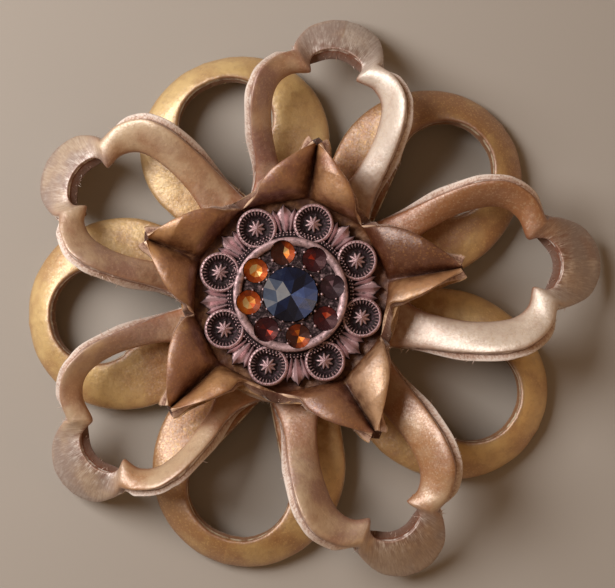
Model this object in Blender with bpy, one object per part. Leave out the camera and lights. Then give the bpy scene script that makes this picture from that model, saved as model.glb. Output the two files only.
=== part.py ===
"""Leather flower concho: three layers of cut and bent leather petals behind a cast berry concho.

The flower lies face up. X and Y run along the surface that it lies on and Z points up. The origin is the
centre of the flower's footprint on that surface. All lengths are in metres and all angles in degrees.
"""
import math
from dataclasses import dataclass

import bmesh
import bpy
import numpy as np
from mathutils import Matrix, Vector

# Leather: thickness of each layer, and the air gap kept between any two pieces that touch
BACK_THICKNESS = 0.0022
MIDDLE_THICKNESS = 0.0022
INNER_THICKNESS = 0.0018
CONTACT_GAP = 0.0003

# Stones: diameters over the girdle, heights above and below it, and the metal left between them
CENTRE_STONE_DIAMETER = 0.0092
CENTRE_STONE_CROWN = 0.0016
CENTRE_STONE_BACK = 0.0018
SMALL_STONE_DIAMETER = 0.0041
SMALL_STONE_CROWN = 0.00074
SMALL_STONE_BACK = 0.00098
SMALL_STONE_COUNT = 8
SMALL_STONE_PHASE = 10.4
STONE_SPACING = 0.00045
STONE_FACETS = 8
TABLE_SHARE = 0.56

# Cast concho: its plate, and the raised setting round the stones with its bevelled top
PLATE_THICKNESS = 0.0012
PLATE_SKIN = 0.0008
PLATE_SET_BACK = 0.0004
SETTING_HEIGHT = 0.0023
SETTING_WALL = 0.00055
SETTING_BEVEL_WIDTH = 0.0004
SETTING_BEVEL_HEIGHT = 0.00045
SETTING_INNER_DROP = 0.00065
SETTING_DRAFT = 0.0001
SCALLOP_DEPTH = 0.0009

# Cast concho: the milled ring round the setting, which is highest at its middle
MILLED_RING_WIDTH = 0.0010
MILLED_RING_HEIGHT = 0.00075
MILLED_RING_EDGE_HEIGHT = 0.00025

# Cast concho: the berries, round dishes with a toothed rim and a star in the middle
BERRY_RADIUS = 0.0034
BERRY_OVERLAP = 0.0016
BERRY_COUNT = 8
BERRY_PHASE = 27.3
BERRY_HEIGHT = 0.0022
BERRY_FOOT = 0.0001
STAR_HEIGHT = 0.0026
STAR_WAIST = 0.55
# Profile of a berry's dish from the outer wall to the star's foot: share of the radius, of the height
BERRY_PROFILE = ((1.00, 0.77), (0.93, 1.00), (0.80, 0.91), (0.48, 0.64))

# Cast concho: the leaves between the berries, with three ridges each
LEAF_PHASE = 4.8
LEAF_WIDTH = 0.0031
LEAF_HEIGHT = 0.0020
LEAF_FOOT = 0.0002
LEAF_TUCK = 0.0006
LEAF_SET_BACK = 0.0005
# Across a leaf: share of the half width, share of the height
LEAF_RIDGES = ((-1, 0.45), (-0.62, 0.85), (-0.34, 0.60), (0, 1.0), (0.34, 0.60), (0.62, 0.85), (1, 0.45))
# Along a leaf: share of the length, share of the width, share of the height
LEAF_STATIONS = ((0, 0.70, 0.95), (0.35, 0.86, 1.0), (0.62, 1.0, 1.0), (0.84, 0.50, 0.85), (1.0, 0.04, 0.60))

# Screw back: shank and head of the screw, and the wall of the post that it turns into
SHANK_DIAMETER = 0.0040
SHANK_CLEARANCE = 0.0003
POST_WALL = 0.0008
POST_SHORTFALL = 0.0008
HEAD_DIAMETER = 0.0095
HEAD_THICKNESS = 0.0013
HEAD_CHAMFER = 0.0004
SLOT_WIDTH = 0.0010
SLOT_DEPTH = 0.0006
SLOT_TURN = 22.0

# Hub of the leather layers: how far past the metal the cuts between petals stop in the lower layers and in
# the inner one, how high above the flat of the hub the inner layer's cuts end, and how far inside the
# circle through the ends a cut-out starts
HUB_MARGIN = 0.0016
INNER_HUB_MARGIN = 0.0007
INNER_ROOT_LIFT = 0.0010
OPENING_SET_BACK = 0.0007

# Back layer: a petal's length past the hub, half its width and half its cut-out's, and how far it bends
BACK_LENGTH = 0.0300
BACK_HALF_WIDTH = 0.0168
BACK_OPENING_HALF_WIDTH = 0.0079
BACK_DROP = 0.0041
BACK_DROP_POWER = 1.3
BACK_OPENING_RISE = 0.0016
BACK_OPENING_RISE_POWER = 2

# Round patterns of a back petal, as shares of the way from the hub to the tip, and where their arcs start
BACK_OUTER_CENTRE = 0.48
BACK_OUTER_START = 120
BACK_HOLE_CENTRE = 0.60
BACK_HOLE_RADIUS = 0.25
BACK_HOLE_START = 135
BACK_ARC_POINTS = 8

# Middle layer: a petal's length past the hub, half its width and half its cut-out's, how far its sides and
# its cut-outs rise and its tips drop, and half the width of an end lobe
MIDDLE_LENGTH = 0.0340
MIDDLE_HALF_WIDTH = 0.0140
MIDDLE_OPENING_HALF_WIDTH = 0.0084
MIDDLE_SIDE_RISE = 0.0085
MIDDLE_OPENING_RISE = 0.0025
MIDDLE_TIP_DROP = 0.0058
END_LOBE_HALF_WIDTH = 0.0072

# Inner layer: a petal's length past the hub, half its width, the rise of its rim, the rise and gouge of its
# keel, and how its halves swell between keel and rim, where a power under 1 makes them bulge
INNER_LENGTH = 0.0109
INNER_HALF_WIDTH = 0.0092
INNER_RIM_RISE = 0.0060
KEEL_TIP_RISE = 0.0024
KEEL_RISE_POWER = 0.6
KEEL_GOUGE_DEPTH = 0.0004
KEEL_GOUGE_HALF_WIDTH = 0.12
GOUGE_FADE_ROWS = 3
SWELL_POWER = 0.72

# Crown of a strap: how far its middle bulges above the line between its edges
STRAP_CROWN = 0.0006
CROWN_FADE_ROWS = 5

# Mesh cells along a strap before and after its notch, across it, along an inner petal and round turned
# pieces, and the distance within which points of one sheet are joined
STRAP_STEPS_BEFORE_NOTCH = 9
STRAP_STEPS_AFTER_NOTCH = 5
BACK_STRAP_STEPS = 12
STRAP_CELLS = 2
PETAL_STEPS = 7
TURNED_SEGMENTS = 36
HEAD_SEGMENTS = 32
SEAT_SEGMENTS = 20
BERRY_SEGMENTS = 16
MERGE_DISTANCE = 0.000001


@dataclass(frozen=True)
class Petal:
    """One bent petal, with its sizes as shares of its layer's own.

    A pair is for its left and right half; left is towards a larger azimuth.
    """

    azimuth: float
    length: float = 1.0
    half_widths: tuple = (1.0, 1.0)
    rises: tuple = (1.0, 1.0)
    openings: tuple = (1.0, 1.0)


@dataclass(frozen=True)
class Half:
    """One half of a petal: side is 1 on the left and -1 on the right, gap the angle to the cut beside it."""

    side: int
    gap: float
    length: float
    width: float
    rise: float
    opening: float


@dataclass(frozen=True)
class Layer:
    """One layer of leather and the sizes of its petals.

    half_rows is the function that shapes half a petal, and top is the height of the hub's upper face.
    """

    name: str
    petals: tuple
    half_rows: object
    top: float
    thickness: float
    length: float
    half_width: float
    rise: float = 0.0
    opening: float = 0.0


# Back layer: round petals with a drop-shaped cut-out. Their outer edges bend down to the surface
BACK_PETALS = (
    Petal(185.5, length=0.957),
    Petal(111.0, length=0.873),
    Petal(39.6, length=0.98, half_widths=(1.0, 0.93)),
    Petal(-28.5, length=1.013, half_widths=(0.93, 1.0)),
    Petal(-104.6, openings=(1.0, 1.14)),
)

# Middle layer: petals with two side lobes and an end lobe, cut out inside. Their sides curl up
MIDDLE_PETALS = (
    Petal(79.0, 0.93, (0.915, 0.97), openings=(1.035, 1.0)),
    Petal(151.0, 0.93, (0.88, 1.055), (1.06, 0.94), (0.88, 0.975)),
    Petal(219.0, 0.997, (0.845, 1.045), (1.06, 0.94), (0.94, 1.275)),
    Petal(294.5, 1.018, (0.995, 0.97), (1.0, 1.06), (0.82, 0.88)),
    Petal(7.0, 1.059, (1.055, 1.03), openings=(1.18, 0.94)),
)

# Inner layer: pointed petals folded along a gouged keel, with raised rims and no cut-out
INNER_PETALS = (
    Petal(80.0, 0.817, (0.99, 0.97)),
    Petal(158.7, 0.835, (0.915, 1.055), (0.92, 1.0)),
    Petal(223.3, 1.00, (0.61, 1.055), (1.08, 1.0)),
    Petal(301.5, 0.936, (1.01, 0.915)),
    Petal(8.8, 1.119, (1.045, 0.535), (0.92, 1.08)),
)

# Pattern of a middle petal's outer edge: share of the length, share of the width, share of the rise
MIDDLE_OUTER_SIDE = (
    (0.13, 0.80, 0.12),
    (0.30, 0.94, 0.54),
    (0.47, 1.00, 0.94),
    (0.62, 0.98, 0.95),
    (0.735, 0.80, 0.65),
)
MIDDLE_NOTCH = (0.785, 1.03, 0.40)
# From the notch on: share of the length, share of the end lobe's width, share of the tip's drop
MIDDLE_OUTER_END = (
    (0.845, 1.06, 0.35),
    (0.93, 0.86, 0.80),
    (0.985, 0.42, 0.97),
    (1.0, 0.0, 1.0),
)
# Pattern of its cut-out: share of the length, share of the cut-out's width, share of its rise
MIDDLE_INNER_SIDE = (
    (0.15, 0.50, 0.18),
    (0.26, 0.78, 0.45),
    (0.42, 1.00, 0.75),
    (0.555, 1.02, 0.90),
    (0.63, 0.80, 0.95),
)
MIDDLE_CUSP = (0.66, 0.43, 1.0)
# From the cusp on: share of the length, share of the end lobe's width, share of the cut-out's rise
MIDDLE_INNER_END = (
    (0.71, 0.54, 1.0),
    (0.755, 0.48, 1.0),
    (0.785, 0.26, 1.0),
    (0.795, 0.0, 1.0),
)

# Pattern of an inner petal's rim: share of the length, share of the width, share of the rise
INNER_RIM = (
    (0.13, 1.00, 0.58),
    (0.32, 0.95, 0.84),
    (0.50, 0.83, 0.95),
    (0.66, 0.64, 1.00),
    (0.80, 0.44, 0.95),
    (0.92, 0.25, 0.85),
    (1.00, 0.06, 0.75),
)

# Radii worked out from the sizes above
POST_BORE_RADIUS = SHANK_DIAMETER / 2 + SHANK_CLEARANCE
POST_RADIUS = POST_BORE_RADIUS + POST_WALL
HUB_HOLE_RADIUS = POST_RADIUS + CONTACT_GAP
SMALL_STONE_RADIUS = SMALL_STONE_DIAMETER / 2
CENTRE_STONE_RADIUS = CENTRE_STONE_DIAMETER / 2
STONE_CIRCLE_RADIUS = max(
    CENTRE_STONE_RADIUS + STONE_SPACING + SMALL_STONE_RADIUS,
    (SMALL_STONE_RADIUS + STONE_SPACING / 2) / math.sin(math.pi / SMALL_STONE_COUNT),
)
SETTING_RADIUS = STONE_CIRCLE_RADIUS + SMALL_STONE_RADIUS + SETTING_WALL
MILLED_RING_RADIUS = SETTING_RADIUS + MILLED_RING_WIDTH
BERRY_CIRCLE_RADIUS = MILLED_RING_RADIUS + BERRY_RADIUS - BERRY_OVERLAP
CONCHO_RADIUS = BERRY_CIRCLE_RADIUS + BERRY_RADIUS
HUB_RADIUS = CONCHO_RADIUS + HUB_MARGIN
INNER_HUB_RADIUS = CONCHO_RADIUS + INNER_HUB_MARGIN
PETAL_START = HUB_RADIUS * math.cos(math.pi / len(MIDDLE_PETALS))
INNER_START = INNER_HUB_RADIUS * math.cos(math.pi / len(INNER_PETALS))

# Heights above the underside of the hub
BACK_TOP = BACK_THICKNESS
MIDDLE_TOP = BACK_TOP + CONTACT_GAP + MIDDLE_THICKNESS
INNER_TOP = MIDDLE_TOP + CONTACT_GAP + INNER_THICKNESS
CONCHO_BOTTOM = INNER_TOP + CONTACT_GAP
BORE_END = CONCHO_BOTTOM + PLATE_THICKNESS - PLATE_SKIN
STONE_SEAT = CONCHO_BOTTOM + PLATE_THICKNESS
HEAD_TOP = -CONTACT_GAP
HEAD_BOTTOM = HEAD_TOP - HEAD_THICKNESS


def clear_scene():
    """Removes whatever the file holds."""
    for item in list(bpy.data.objects):
        bpy.data.objects.remove(item, do_unlink=True)


def make_material(name, colour, roughness, metallic):
    """Makes a plain Principled material."""
    material = bpy.data.materials.new(name)
    material.use_nodes = True
    shader = material.node_tree.nodes["Principled BSDF"]
    shader.inputs["Base Color"].default_value = (*colour, 1.0)
    shader.inputs["Roughness"].default_value = roughness
    shader.inputs["Metallic"].default_value = metallic
    return material


def add_object(name, bm, parent, material=None):
    """Turns a bmesh into an object that hangs on the flower's empty."""
    mesh = bpy.data.meshes.new(name)
    bm.to_mesh(mesh)
    bm.free()
    if material:
        mesh.materials.append(material)
    item = bpy.data.objects.new(name, mesh)
    bpy.context.scene.collection.objects.link(item)
    item.parent = parent
    return item


def smooth_curve(points, places):
    """Reads a Catmull-Rom curve through points at places counted in points from the first one."""
    points = np.asarray(points, dtype=float)
    ends = np.vstack([2 * points[0] - points[1], points, 2 * points[-1] - points[-2]])
    result = []
    for place in places:
        index = min(int(place), len(points) - 2)
        t = place - index
        a, b, c, d = ends[index:index + 4]
        result.append(0.5 * (2 * b + (c - a) * t + (2 * a - 5 * b + 4 * c - d) * t ** 2
                             + (3 * b - a - 3 * c + d) * t ** 3))
    return np.array(result)


def cut_angles(petals):
    """Gives each petal the angles, in radians, to the cuts on its left and on its right."""
    turns = sorted(range(len(petals)), key=lambda i: petals[i].azimuth % 360)
    left = {}
    right = {}
    for here, following in zip(turns, turns[1:] + turns[:1]):
        step = (petals[following].azimuth - petals[here].azimuth) % 360
        left[here] = math.radians(step / 2)
        right[following] = math.radians(step / 2)
    return [(left[i], right[i]) for i in range(len(petals))]


def halves_of(layer):
    """Lists the halves of a layer's petals, each with its petal's azimuth."""
    halves = []
    for petal, gaps in zip(layer.petals, cut_angles(layer.petals)):
        length = petal.length * layer.length
        for i, side in enumerate((1, -1)):
            width = petal.half_widths[i] * layer.half_width
            rise = petal.rises[i] * layer.rise
            opening = petal.openings[i] * layer.opening
            halves.append((petal.azimuth, Half(side, gaps[i], length, width, rise, opening)))
    return halves


def placed(points, azimuth):
    """Turns points from a petal's own frame to the flower's."""
    angle = math.radians(azimuth)
    turn = np.array([[math.cos(angle), math.sin(angle), 0],
                     [-math.sin(angle), math.cos(angle), 0],
                     [0, 0, 1]])
    return np.asarray(points) @ turn


def cut_end(half, height, radius=HUB_RADIUS):
    """End of the cut beside a half petal, in the petal's own frame."""
    return radius * math.cos(half.gap), radius * math.sin(half.gap), height


def strap_rows(outer, inner, side):
    """Fills the strap between two edges with rows of points, from the inner edge to the outer one."""
    rows = []
    for count, (start, end) in enumerate(zip(inner, outer)):
        bulge = STRAP_CROWN * min(1, count / CROWN_FADE_ROWS) ** 2
        row = []
        for cell in range(STRAP_CELLS + 1):
            share = cell / STRAP_CELLS
            point = start + (end - start) * share
            point[2] += bulge * 4 * share * (1 - share)
            row.append(point)
        rows.append(np.array(row) * (1, side, 1))
    return rows


def back_rows(half):
    """One half of a round back petal, as rows of points from its cut-out to its outer edge."""
    span = HUB_RADIUS + half.length - PETAL_START
    outer = [cut_end(half, BACK_TOP)]
    for angle in np.radians(np.linspace(BACK_OUTER_START, 0, BACK_ARC_POINTS)):
        along = BACK_OUTER_CENTRE + (1 - BACK_OUTER_CENTRE) * math.cos(angle)
        height = BACK_TOP - BACK_DROP * along ** BACK_DROP_POWER
        outer.append((PETAL_START + along * span, half.width * math.sin(angle), height))
    inner = [(HUB_RADIUS - OPENING_SET_BACK, 0, BACK_TOP)]
    for angle in np.radians(np.linspace(BACK_HOLE_START, 0, BACK_ARC_POINTS)):
        along = BACK_HOLE_CENTRE + BACK_HOLE_RADIUS * math.cos(angle)
        height = BACK_TOP + BACK_OPENING_RISE * along ** BACK_OPENING_RISE_POWER
        inner.append((PETAL_START + along * span, half.opening * math.sin(angle), height))
    places = np.linspace(0, BACK_ARC_POINTS, BACK_STRAP_STEPS + 1)
    return strap_rows(smooth_curve(outer, places), smooth_curve(inner, places), half.side)


def middle_rows(half):
    """One half of a middle petal, as rows of points from its cut-out to its outer edge."""
    span = HUB_RADIUS + half.length - PETAL_START
    notch_height = MIDDLE_TOP + MIDDLE_NOTCH[2] * half.rise
    tip_height = MIDDLE_TOP - MIDDLE_TIP_DROP

    def point(along, across, width, height):
        return PETAL_START + along * span, across * width, height

    notch = point(MIDDLE_NOTCH[0], MIDDLE_NOTCH[1], END_LOBE_HALF_WIDTH, notch_height)
    outer_side = [cut_end(half, MIDDLE_TOP)]
    for along, across, lift in MIDDLE_OUTER_SIDE:
        outer_side.append(point(along, across, half.width, MIDDLE_TOP + lift * half.rise))
    outer_side.append(notch)
    outer_end = [notch]
    for along, across, drop in MIDDLE_OUTER_END:
        height = notch_height + (tip_height - notch_height) * drop
        outer_end.append(point(along, across, END_LOBE_HALF_WIDTH, height))

    inner_side = [(HUB_RADIUS - OPENING_SET_BACK, 0, MIDDLE_TOP)]
    for along, across, lift in (*MIDDLE_INNER_SIDE, MIDDLE_CUSP):
        inner_side.append(point(along, across, half.opening, MIDDLE_TOP + lift * MIDDLE_OPENING_RISE))
    inner_end = [inner_side[-1]]
    for along, across, lift in MIDDLE_INNER_END:
        inner_end.append(point(along, across, END_LOBE_HALF_WIDTH, MIDDLE_TOP + lift * MIDDLE_OPENING_RISE))

    before = np.linspace(0, len(outer_side) - 1, STRAP_STEPS_BEFORE_NOTCH + 1)
    after = np.linspace(0, len(outer_end) - 1, STRAP_STEPS_AFTER_NOTCH + 1)[1:]
    outer = np.vstack([smooth_curve(outer_side, before), smooth_curve(outer_end, after)])
    inner = np.vstack([smooth_curve(inner_side, before), smooth_curve(inner_end, after)])
    return strap_rows(outer, inner, half.side)


def inner_rows(half):
    """One half of an inner petal, as rows of points from the keel to the raised rim."""
    span = INNER_HUB_RADIUS + half.length - INNER_START
    rim = [cut_end(half, INNER_TOP + INNER_ROOT_LIFT, INNER_HUB_RADIUS)]
    keel = [(INNER_HUB_RADIUS, 0, INNER_TOP)]
    for along, across, lift in INNER_RIM:
        rim.append((INNER_START + along * span, across * half.width, INNER_TOP + lift * half.rise))
        keel_height = INNER_TOP + KEEL_TIP_RISE * along ** KEEL_RISE_POWER
        keel.append((INNER_HUB_RADIUS + along * half.length, 0, keel_height))
    places = np.linspace(0, len(INNER_RIM), PETAL_STEPS + 1)
    rows = []
    for count, (low, high) in enumerate(zip(smooth_curve(keel, places), smooth_curve(rim, places))):
        row = []
        for share in (0, KEEL_GOUGE_HALF_WIDTH, 0.5, 1):
            point = low + (high - low) * share
            point[2] = low[2] + (high[2] - low[2]) * share ** SWELL_POWER
            if count == 0:
                point[:2] *= INNER_HUB_RADIUS / math.hypot(point[0], point[1])
            row.append(point)
        row[0][2] -= KEEL_GOUGE_DEPTH * min(1, count / GOUGE_FADE_ROWS)
        rows.append(np.array(row) * (1, half.side, 1))
    return rows


def add_grid(bm, rows):
    """Adds a sheet of quads through rows of points."""
    corners = [[bm.verts.new(point) for point in row] for row in rows]
    for first, second in zip(corners, corners[1:]):
        for i in range(len(first) - 1):
            bm.faces.new((first[i], first[i + 1], second[i + 1], second[i]))


def unique_points(points):
    """Drops repeated points."""
    found = []
    for point in points:
        if all(np.linalg.norm(np.subtract(point, other)) > MERGE_DISTANCE for other in found):
            found.append(point)
    return found


def add_hub(bm, root_points, top):
    """Adds the flat hub between the hole for the post and the petals' roots."""
    ordered = sorted(unique_points(root_points), key=lambda p: math.atan2(p[1], p[0]))
    ordered.append(ordered[0])
    rings = []
    for radius in (HUB_HOLE_RADIUS, CONCHO_RADIUS + CONTACT_GAP):
        ring = []
        for point in ordered:
            reach = math.hypot(point[0], point[1])
            ring.append((point[0] / reach * radius, point[1] / reach * radius, top))
        rings.append(ring)
    add_grid(bm, [*rings, ordered])


def add_leather_layer(layer, parent, material):
    """Joins all petals of a layer to one hub and gives the sheet its thickness."""
    bm = bmesh.new()
    roots = []
    for azimuth, half in halves_of(layer):
        rows = [placed(row, azimuth) for row in layer.half_rows(half)]
        add_grid(bm, rows)
        roots.extend(rows[0])
    add_hub(bm, roots, layer.top)
    bmesh.ops.remove_doubles(bm, verts=bm.verts, dist=MERGE_DISTANCE)
    bmesh.ops.recalc_face_normals(bm, faces=bm.faces)
    if sum(face.normal.z for face in bm.faces) < 0:
        bmesh.ops.reverse_faces(bm, faces=bm.faces)
    item = add_object(layer.name, bm, parent, material)
    solid = item.modifiers.new("thickness", "SOLIDIFY")
    solid.thickness = layer.thickness
    solid.offset = -1
    solid.use_quality_normals = True
    return item


def turned_mesh(profile, segments):
    """Spins a profile of (radius, height) points, from axis to axis, about Z."""
    bm = bmesh.new()
    rings = []
    for radius, height in profile:
        if radius == 0:
            rings.append([bm.verts.new((0, 0, height))])
            continue
        ring = []
        for i in range(segments):
            angle = 2 * math.pi * i / segments
            ring.append(bm.verts.new((radius * math.cos(angle), radius * math.sin(angle), height)))
        rings.append(ring)
    for first, second in zip(rings, rings[1:]):
        for i in range(segments):
            j = (i + 1) % segments
            lower = (first[i % len(first)], first[j % len(first)])
            upper = (second[j % len(second)], second[i % len(second)])
            bm.faces.new(list(dict.fromkeys((*lower, *upper))))
    bmesh.ops.recalc_face_normals(bm, faces=bm.faces)
    return bm


def moved(bm, distance, azimuth):
    """Pushes a mesh out along X and turns it about Z."""
    bmesh.ops.translate(bm, vec=(distance, 0, 0), verts=bm.verts)
    turn = Matrix.Rotation(math.radians(azimuth), 3, "Z")
    bmesh.ops.rotate(bm, cent=(0, 0, 0), matrix=turn, verts=bm.verts)
    return bm


def join_into(target, source):
    """Copies one bmesh into another."""
    mesh = bpy.data.meshes.new("joining")
    source.to_mesh(mesh)
    source.free()
    target.from_mesh(mesh)
    bpy.data.meshes.remove(mesh)


def berry_mesh():
    """One berry: a dish with a raised rim and a star that rises from its middle."""
    profile = [(0, BERRY_FOOT), (BERRY_RADIUS, BERRY_FOOT)]
    profile += [(BERRY_RADIUS * across, BERRY_HEIGHT * lift) for across, lift in BERRY_PROFILE]
    profile.append((0, STAR_HEIGHT))
    bm = turned_mesh(profile, BERRY_SEGMENTS)
    bm.verts.ensure_lookup_table()
    last_ring = len(bm.verts) - 1 - BERRY_SEGMENTS
    for i in range(1, BERRY_SEGMENTS, 2):
        vert = bm.verts[last_ring + i]
        vert.co.x *= STAR_WAIST
        vert.co.y *= STAR_WAIST
    return bm


def leaf_mesh():
    """One leaf: three ridges that run out to a pointed tip."""
    start = MILLED_RING_RADIUS - LEAF_TUCK
    reach = CONCHO_RADIUS - LEAF_SET_BACK - start
    bm = bmesh.new()
    loops = []
    for along, width, height in LEAF_STATIONS:
        x = start + along * reach
        half = LEAF_WIDTH / 2 * width
        loop = [bm.verts.new((x, share * half, lift * height * LEAF_HEIGHT)) for share, lift in LEAF_RIDGES]
        loop += [bm.verts.new((x, half, LEAF_FOOT)), bm.verts.new((x, -half, LEAF_FOOT))]
        loops.append(loop)
    for first, second in zip(loops, loops[1:]):
        for i in range(len(first)):
            j = (i + 1) % len(first)
            bm.faces.new((first[i], first[j], second[j], second[i]))
    bm.faces.new(loops[0])
    bm.faces.new(loops[-1])
    bmesh.ops.recalc_face_normals(bm, faces=bm.faces)
    return bm


def add_boolean(target, name, bm, height, operation):
    """Joins a mesh to a piece or cuts it out of the piece, at a height."""
    guide = add_object(name, bm, target.parent)
    guide.location.z = height
    guide.hide_render = True
    guide.display_type = "WIRE"
    boolean = target.modifiers.new(name, "BOOLEAN")
    boolean.object = guide
    boolean.operation = operation
    boolean.solver = "EXACT"


def concho_profile():
    """Half section of the casting's turned body: plate, hollow post, milled ring and stone setting."""
    post_end = POST_SHORTFALL - CONCHO_BOTTOM
    bore_end = BORE_END - CONCHO_BOTTOM
    plate_radius = BERRY_CIRCLE_RADIUS - PLATE_SET_BACK
    setting_top = PLATE_THICKNESS + SETTING_HEIGHT
    setting_inside = SETTING_RADIUS - SETTING_WALL - SCALLOP_DEPTH
    return [
        (0, bore_end),
        (POST_BORE_RADIUS, bore_end),
        (POST_BORE_RADIUS, post_end),
        (POST_RADIUS, post_end),
        (POST_RADIUS, 0),
        (plate_radius, 0),
        (plate_radius, PLATE_THICKNESS),
        (MILLED_RING_RADIUS, PLATE_THICKNESS + MILLED_RING_EDGE_HEIGHT),
        (MILLED_RING_RADIUS - MILLED_RING_WIDTH / 4, PLATE_THICKNESS + MILLED_RING_HEIGHT),
        (SETTING_RADIUS, PLATE_THICKNESS + MILLED_RING_HEIGHT),
        (SETTING_RADIUS - SETTING_DRAFT, setting_top - SETTING_BEVEL_HEIGHT),
        (SETTING_RADIUS - SETTING_DRAFT - SETTING_BEVEL_WIDTH, setting_top),
        (setting_inside, setting_top - SETTING_INNER_DROP),
        (setting_inside, PLATE_THICKNESS),
        (0, PLATE_THICKNESS),
    ]


def add_metal_concho(parent, material):
    """The casting: plate, hollow post, milled ring, stone setting, berries and leaves in one piece."""
    concho = add_object("metal_concho", turned_mesh(concho_profile(), TURNED_SEGMENTS), parent, material)
    concho.location.z = CONCHO_BOTTOM
    berries = bmesh.new()
    leaves = bmesh.new()
    for i in range(BERRY_COUNT):
        turn = 360 / BERRY_COUNT * i
        join_into(berries, moved(berry_mesh(), BERRY_CIRCLE_RADIUS, BERRY_PHASE + turn))
        join_into(leaves, moved(leaf_mesh(), 0, LEAF_PHASE + turn))
    seats = bmesh.new()
    seat_radius = SMALL_STONE_RADIUS + CONTACT_GAP
    floor = PLATE_THICKNESS
    seat_top = floor + 2 * SETTING_HEIGHT
    seat_profile = [(0, floor), (seat_radius, floor), (seat_radius, seat_top), (0, seat_top)]
    for i in range(SMALL_STONE_COUNT):
        seat = turned_mesh(seat_profile, SEAT_SEGMENTS)
        join_into(seats, moved(seat, STONE_CIRCLE_RADIUS, SMALL_STONE_PHASE + 360 / SMALL_STONE_COUNT * i))
    add_boolean(concho, "berries", berries, CONCHO_BOTTOM, "UNION")
    add_boolean(concho, "leaves", leaves, CONCHO_BOTTOM, "UNION")
    add_boolean(concho, "seats", seats, CONCHO_BOTTOM, "DIFFERENCE")


def stone_mesh(radius, crown, back):
    """A round cut stone: flat table, crown facets, thin girdle and a pointed back, with its tip at zero."""
    bm = bmesh.new()
    sides = 2 * STONE_FACETS
    edge = []
    for i in range(sides):
        angle = 2 * math.pi * i / sides
        edge.append(bm.verts.new((radius * math.cos(angle), radius * math.sin(angle), back)))
    table = []
    for i in range(STONE_FACETS):
        angle = 2 * math.pi * (i + 0.5) / STONE_FACETS
        reach = radius * TABLE_SHARE
        table.append(bm.verts.new((reach * math.cos(angle), reach * math.sin(angle), back + crown)))
    tip = bm.verts.new((0, 0, 0))
    bm.faces.new(table)
    for i in range(STONE_FACETS):
        here = table[i]
        following = table[(i + 1) % STONE_FACETS]
        first, second, third = (edge[(2 * i + step) % sides] for step in range(3))
        bm.faces.new((first, second, here))
        bm.faces.new((second, third, here))
        bm.faces.new((here, third, following))
    for i in range(sides):
        bm.faces.new((tip, edge[(i + 1) % sides], edge[i]))
    bmesh.ops.recalc_face_normals(bm, faces=bm.faces)
    return bm


def add_stones(parent, centre_material, small_material):
    """The large stone and the ring of small ones, each clear of its seat."""
    height = STONE_SEAT + CONTACT_GAP
    shape = stone_mesh(CENTRE_STONE_RADIUS, CENTRE_STONE_CROWN, CENTRE_STONE_BACK)
    add_object("centre_stone", shape, parent, centre_material).location.z = height
    for i in range(SMALL_STONE_COUNT):
        shape = stone_mesh(SMALL_STONE_RADIUS, SMALL_STONE_CROWN, SMALL_STONE_BACK)
        stone = add_object(f"small_stone_{i + 1}", shape, parent, small_material)
        turn = Matrix.Rotation(math.radians(SMALL_STONE_PHASE + 360 / SMALL_STONE_COUNT * i), 3, "Z")
        stone.location = turn @ Vector((STONE_CIRCLE_RADIUS, 0, height))


def add_screw(parent, material):
    """The slotted screw: its shank stands inside the post and its head lies under the leather."""
    shank = SHANK_DIAMETER / 2
    head = HEAD_DIAMETER / 2
    shank_end = BORE_END - CONTACT_GAP
    profile = [
        (0, HEAD_BOTTOM),
        (head - HEAD_CHAMFER, HEAD_BOTTOM),
        (head, HEAD_BOTTOM + HEAD_CHAMFER),
        (head, HEAD_TOP),
        (shank, HEAD_TOP),
        (shank, shank_end),
        (0, shank_end),
    ]
    screw = add_object("back_screw", turned_mesh(profile, HEAD_SEGMENTS), parent, material)
    slot = bmesh.new()
    bmesh.ops.create_cube(slot, size=1)
    slot_length = HEAD_DIAMETER + 2 * SLOT_WIDTH
    bmesh.ops.scale(slot, vec=(slot_length, SLOT_WIDTH, 2 * SLOT_DEPTH), verts=slot.verts)
    add_boolean(screw, "screw_slot", moved(slot, 0, SLOT_TURN), HEAD_BOTTOM, "DIFFERENCE")


def stand_on_floor(parent, layers):
    """Moves the flower so that the centre of its footprint is the origin."""
    bpy.context.view_layer.update()
    graph = bpy.context.evaluated_depsgraph_get()
    corners = []
    for layer in layers:
        shown = layer.evaluated_get(graph)
        corners.extend(shown.matrix_world @ Vector(corner) for corner in shown.bound_box)
    xs = [corner.x for corner in corners]
    ys = [corner.y for corner in corners]
    lowest = min(corner.z for corner in corners)
    parent.location = (-(min(xs) + max(xs)) / 2, -(min(ys) + max(ys)) / 2, -lowest)


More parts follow.
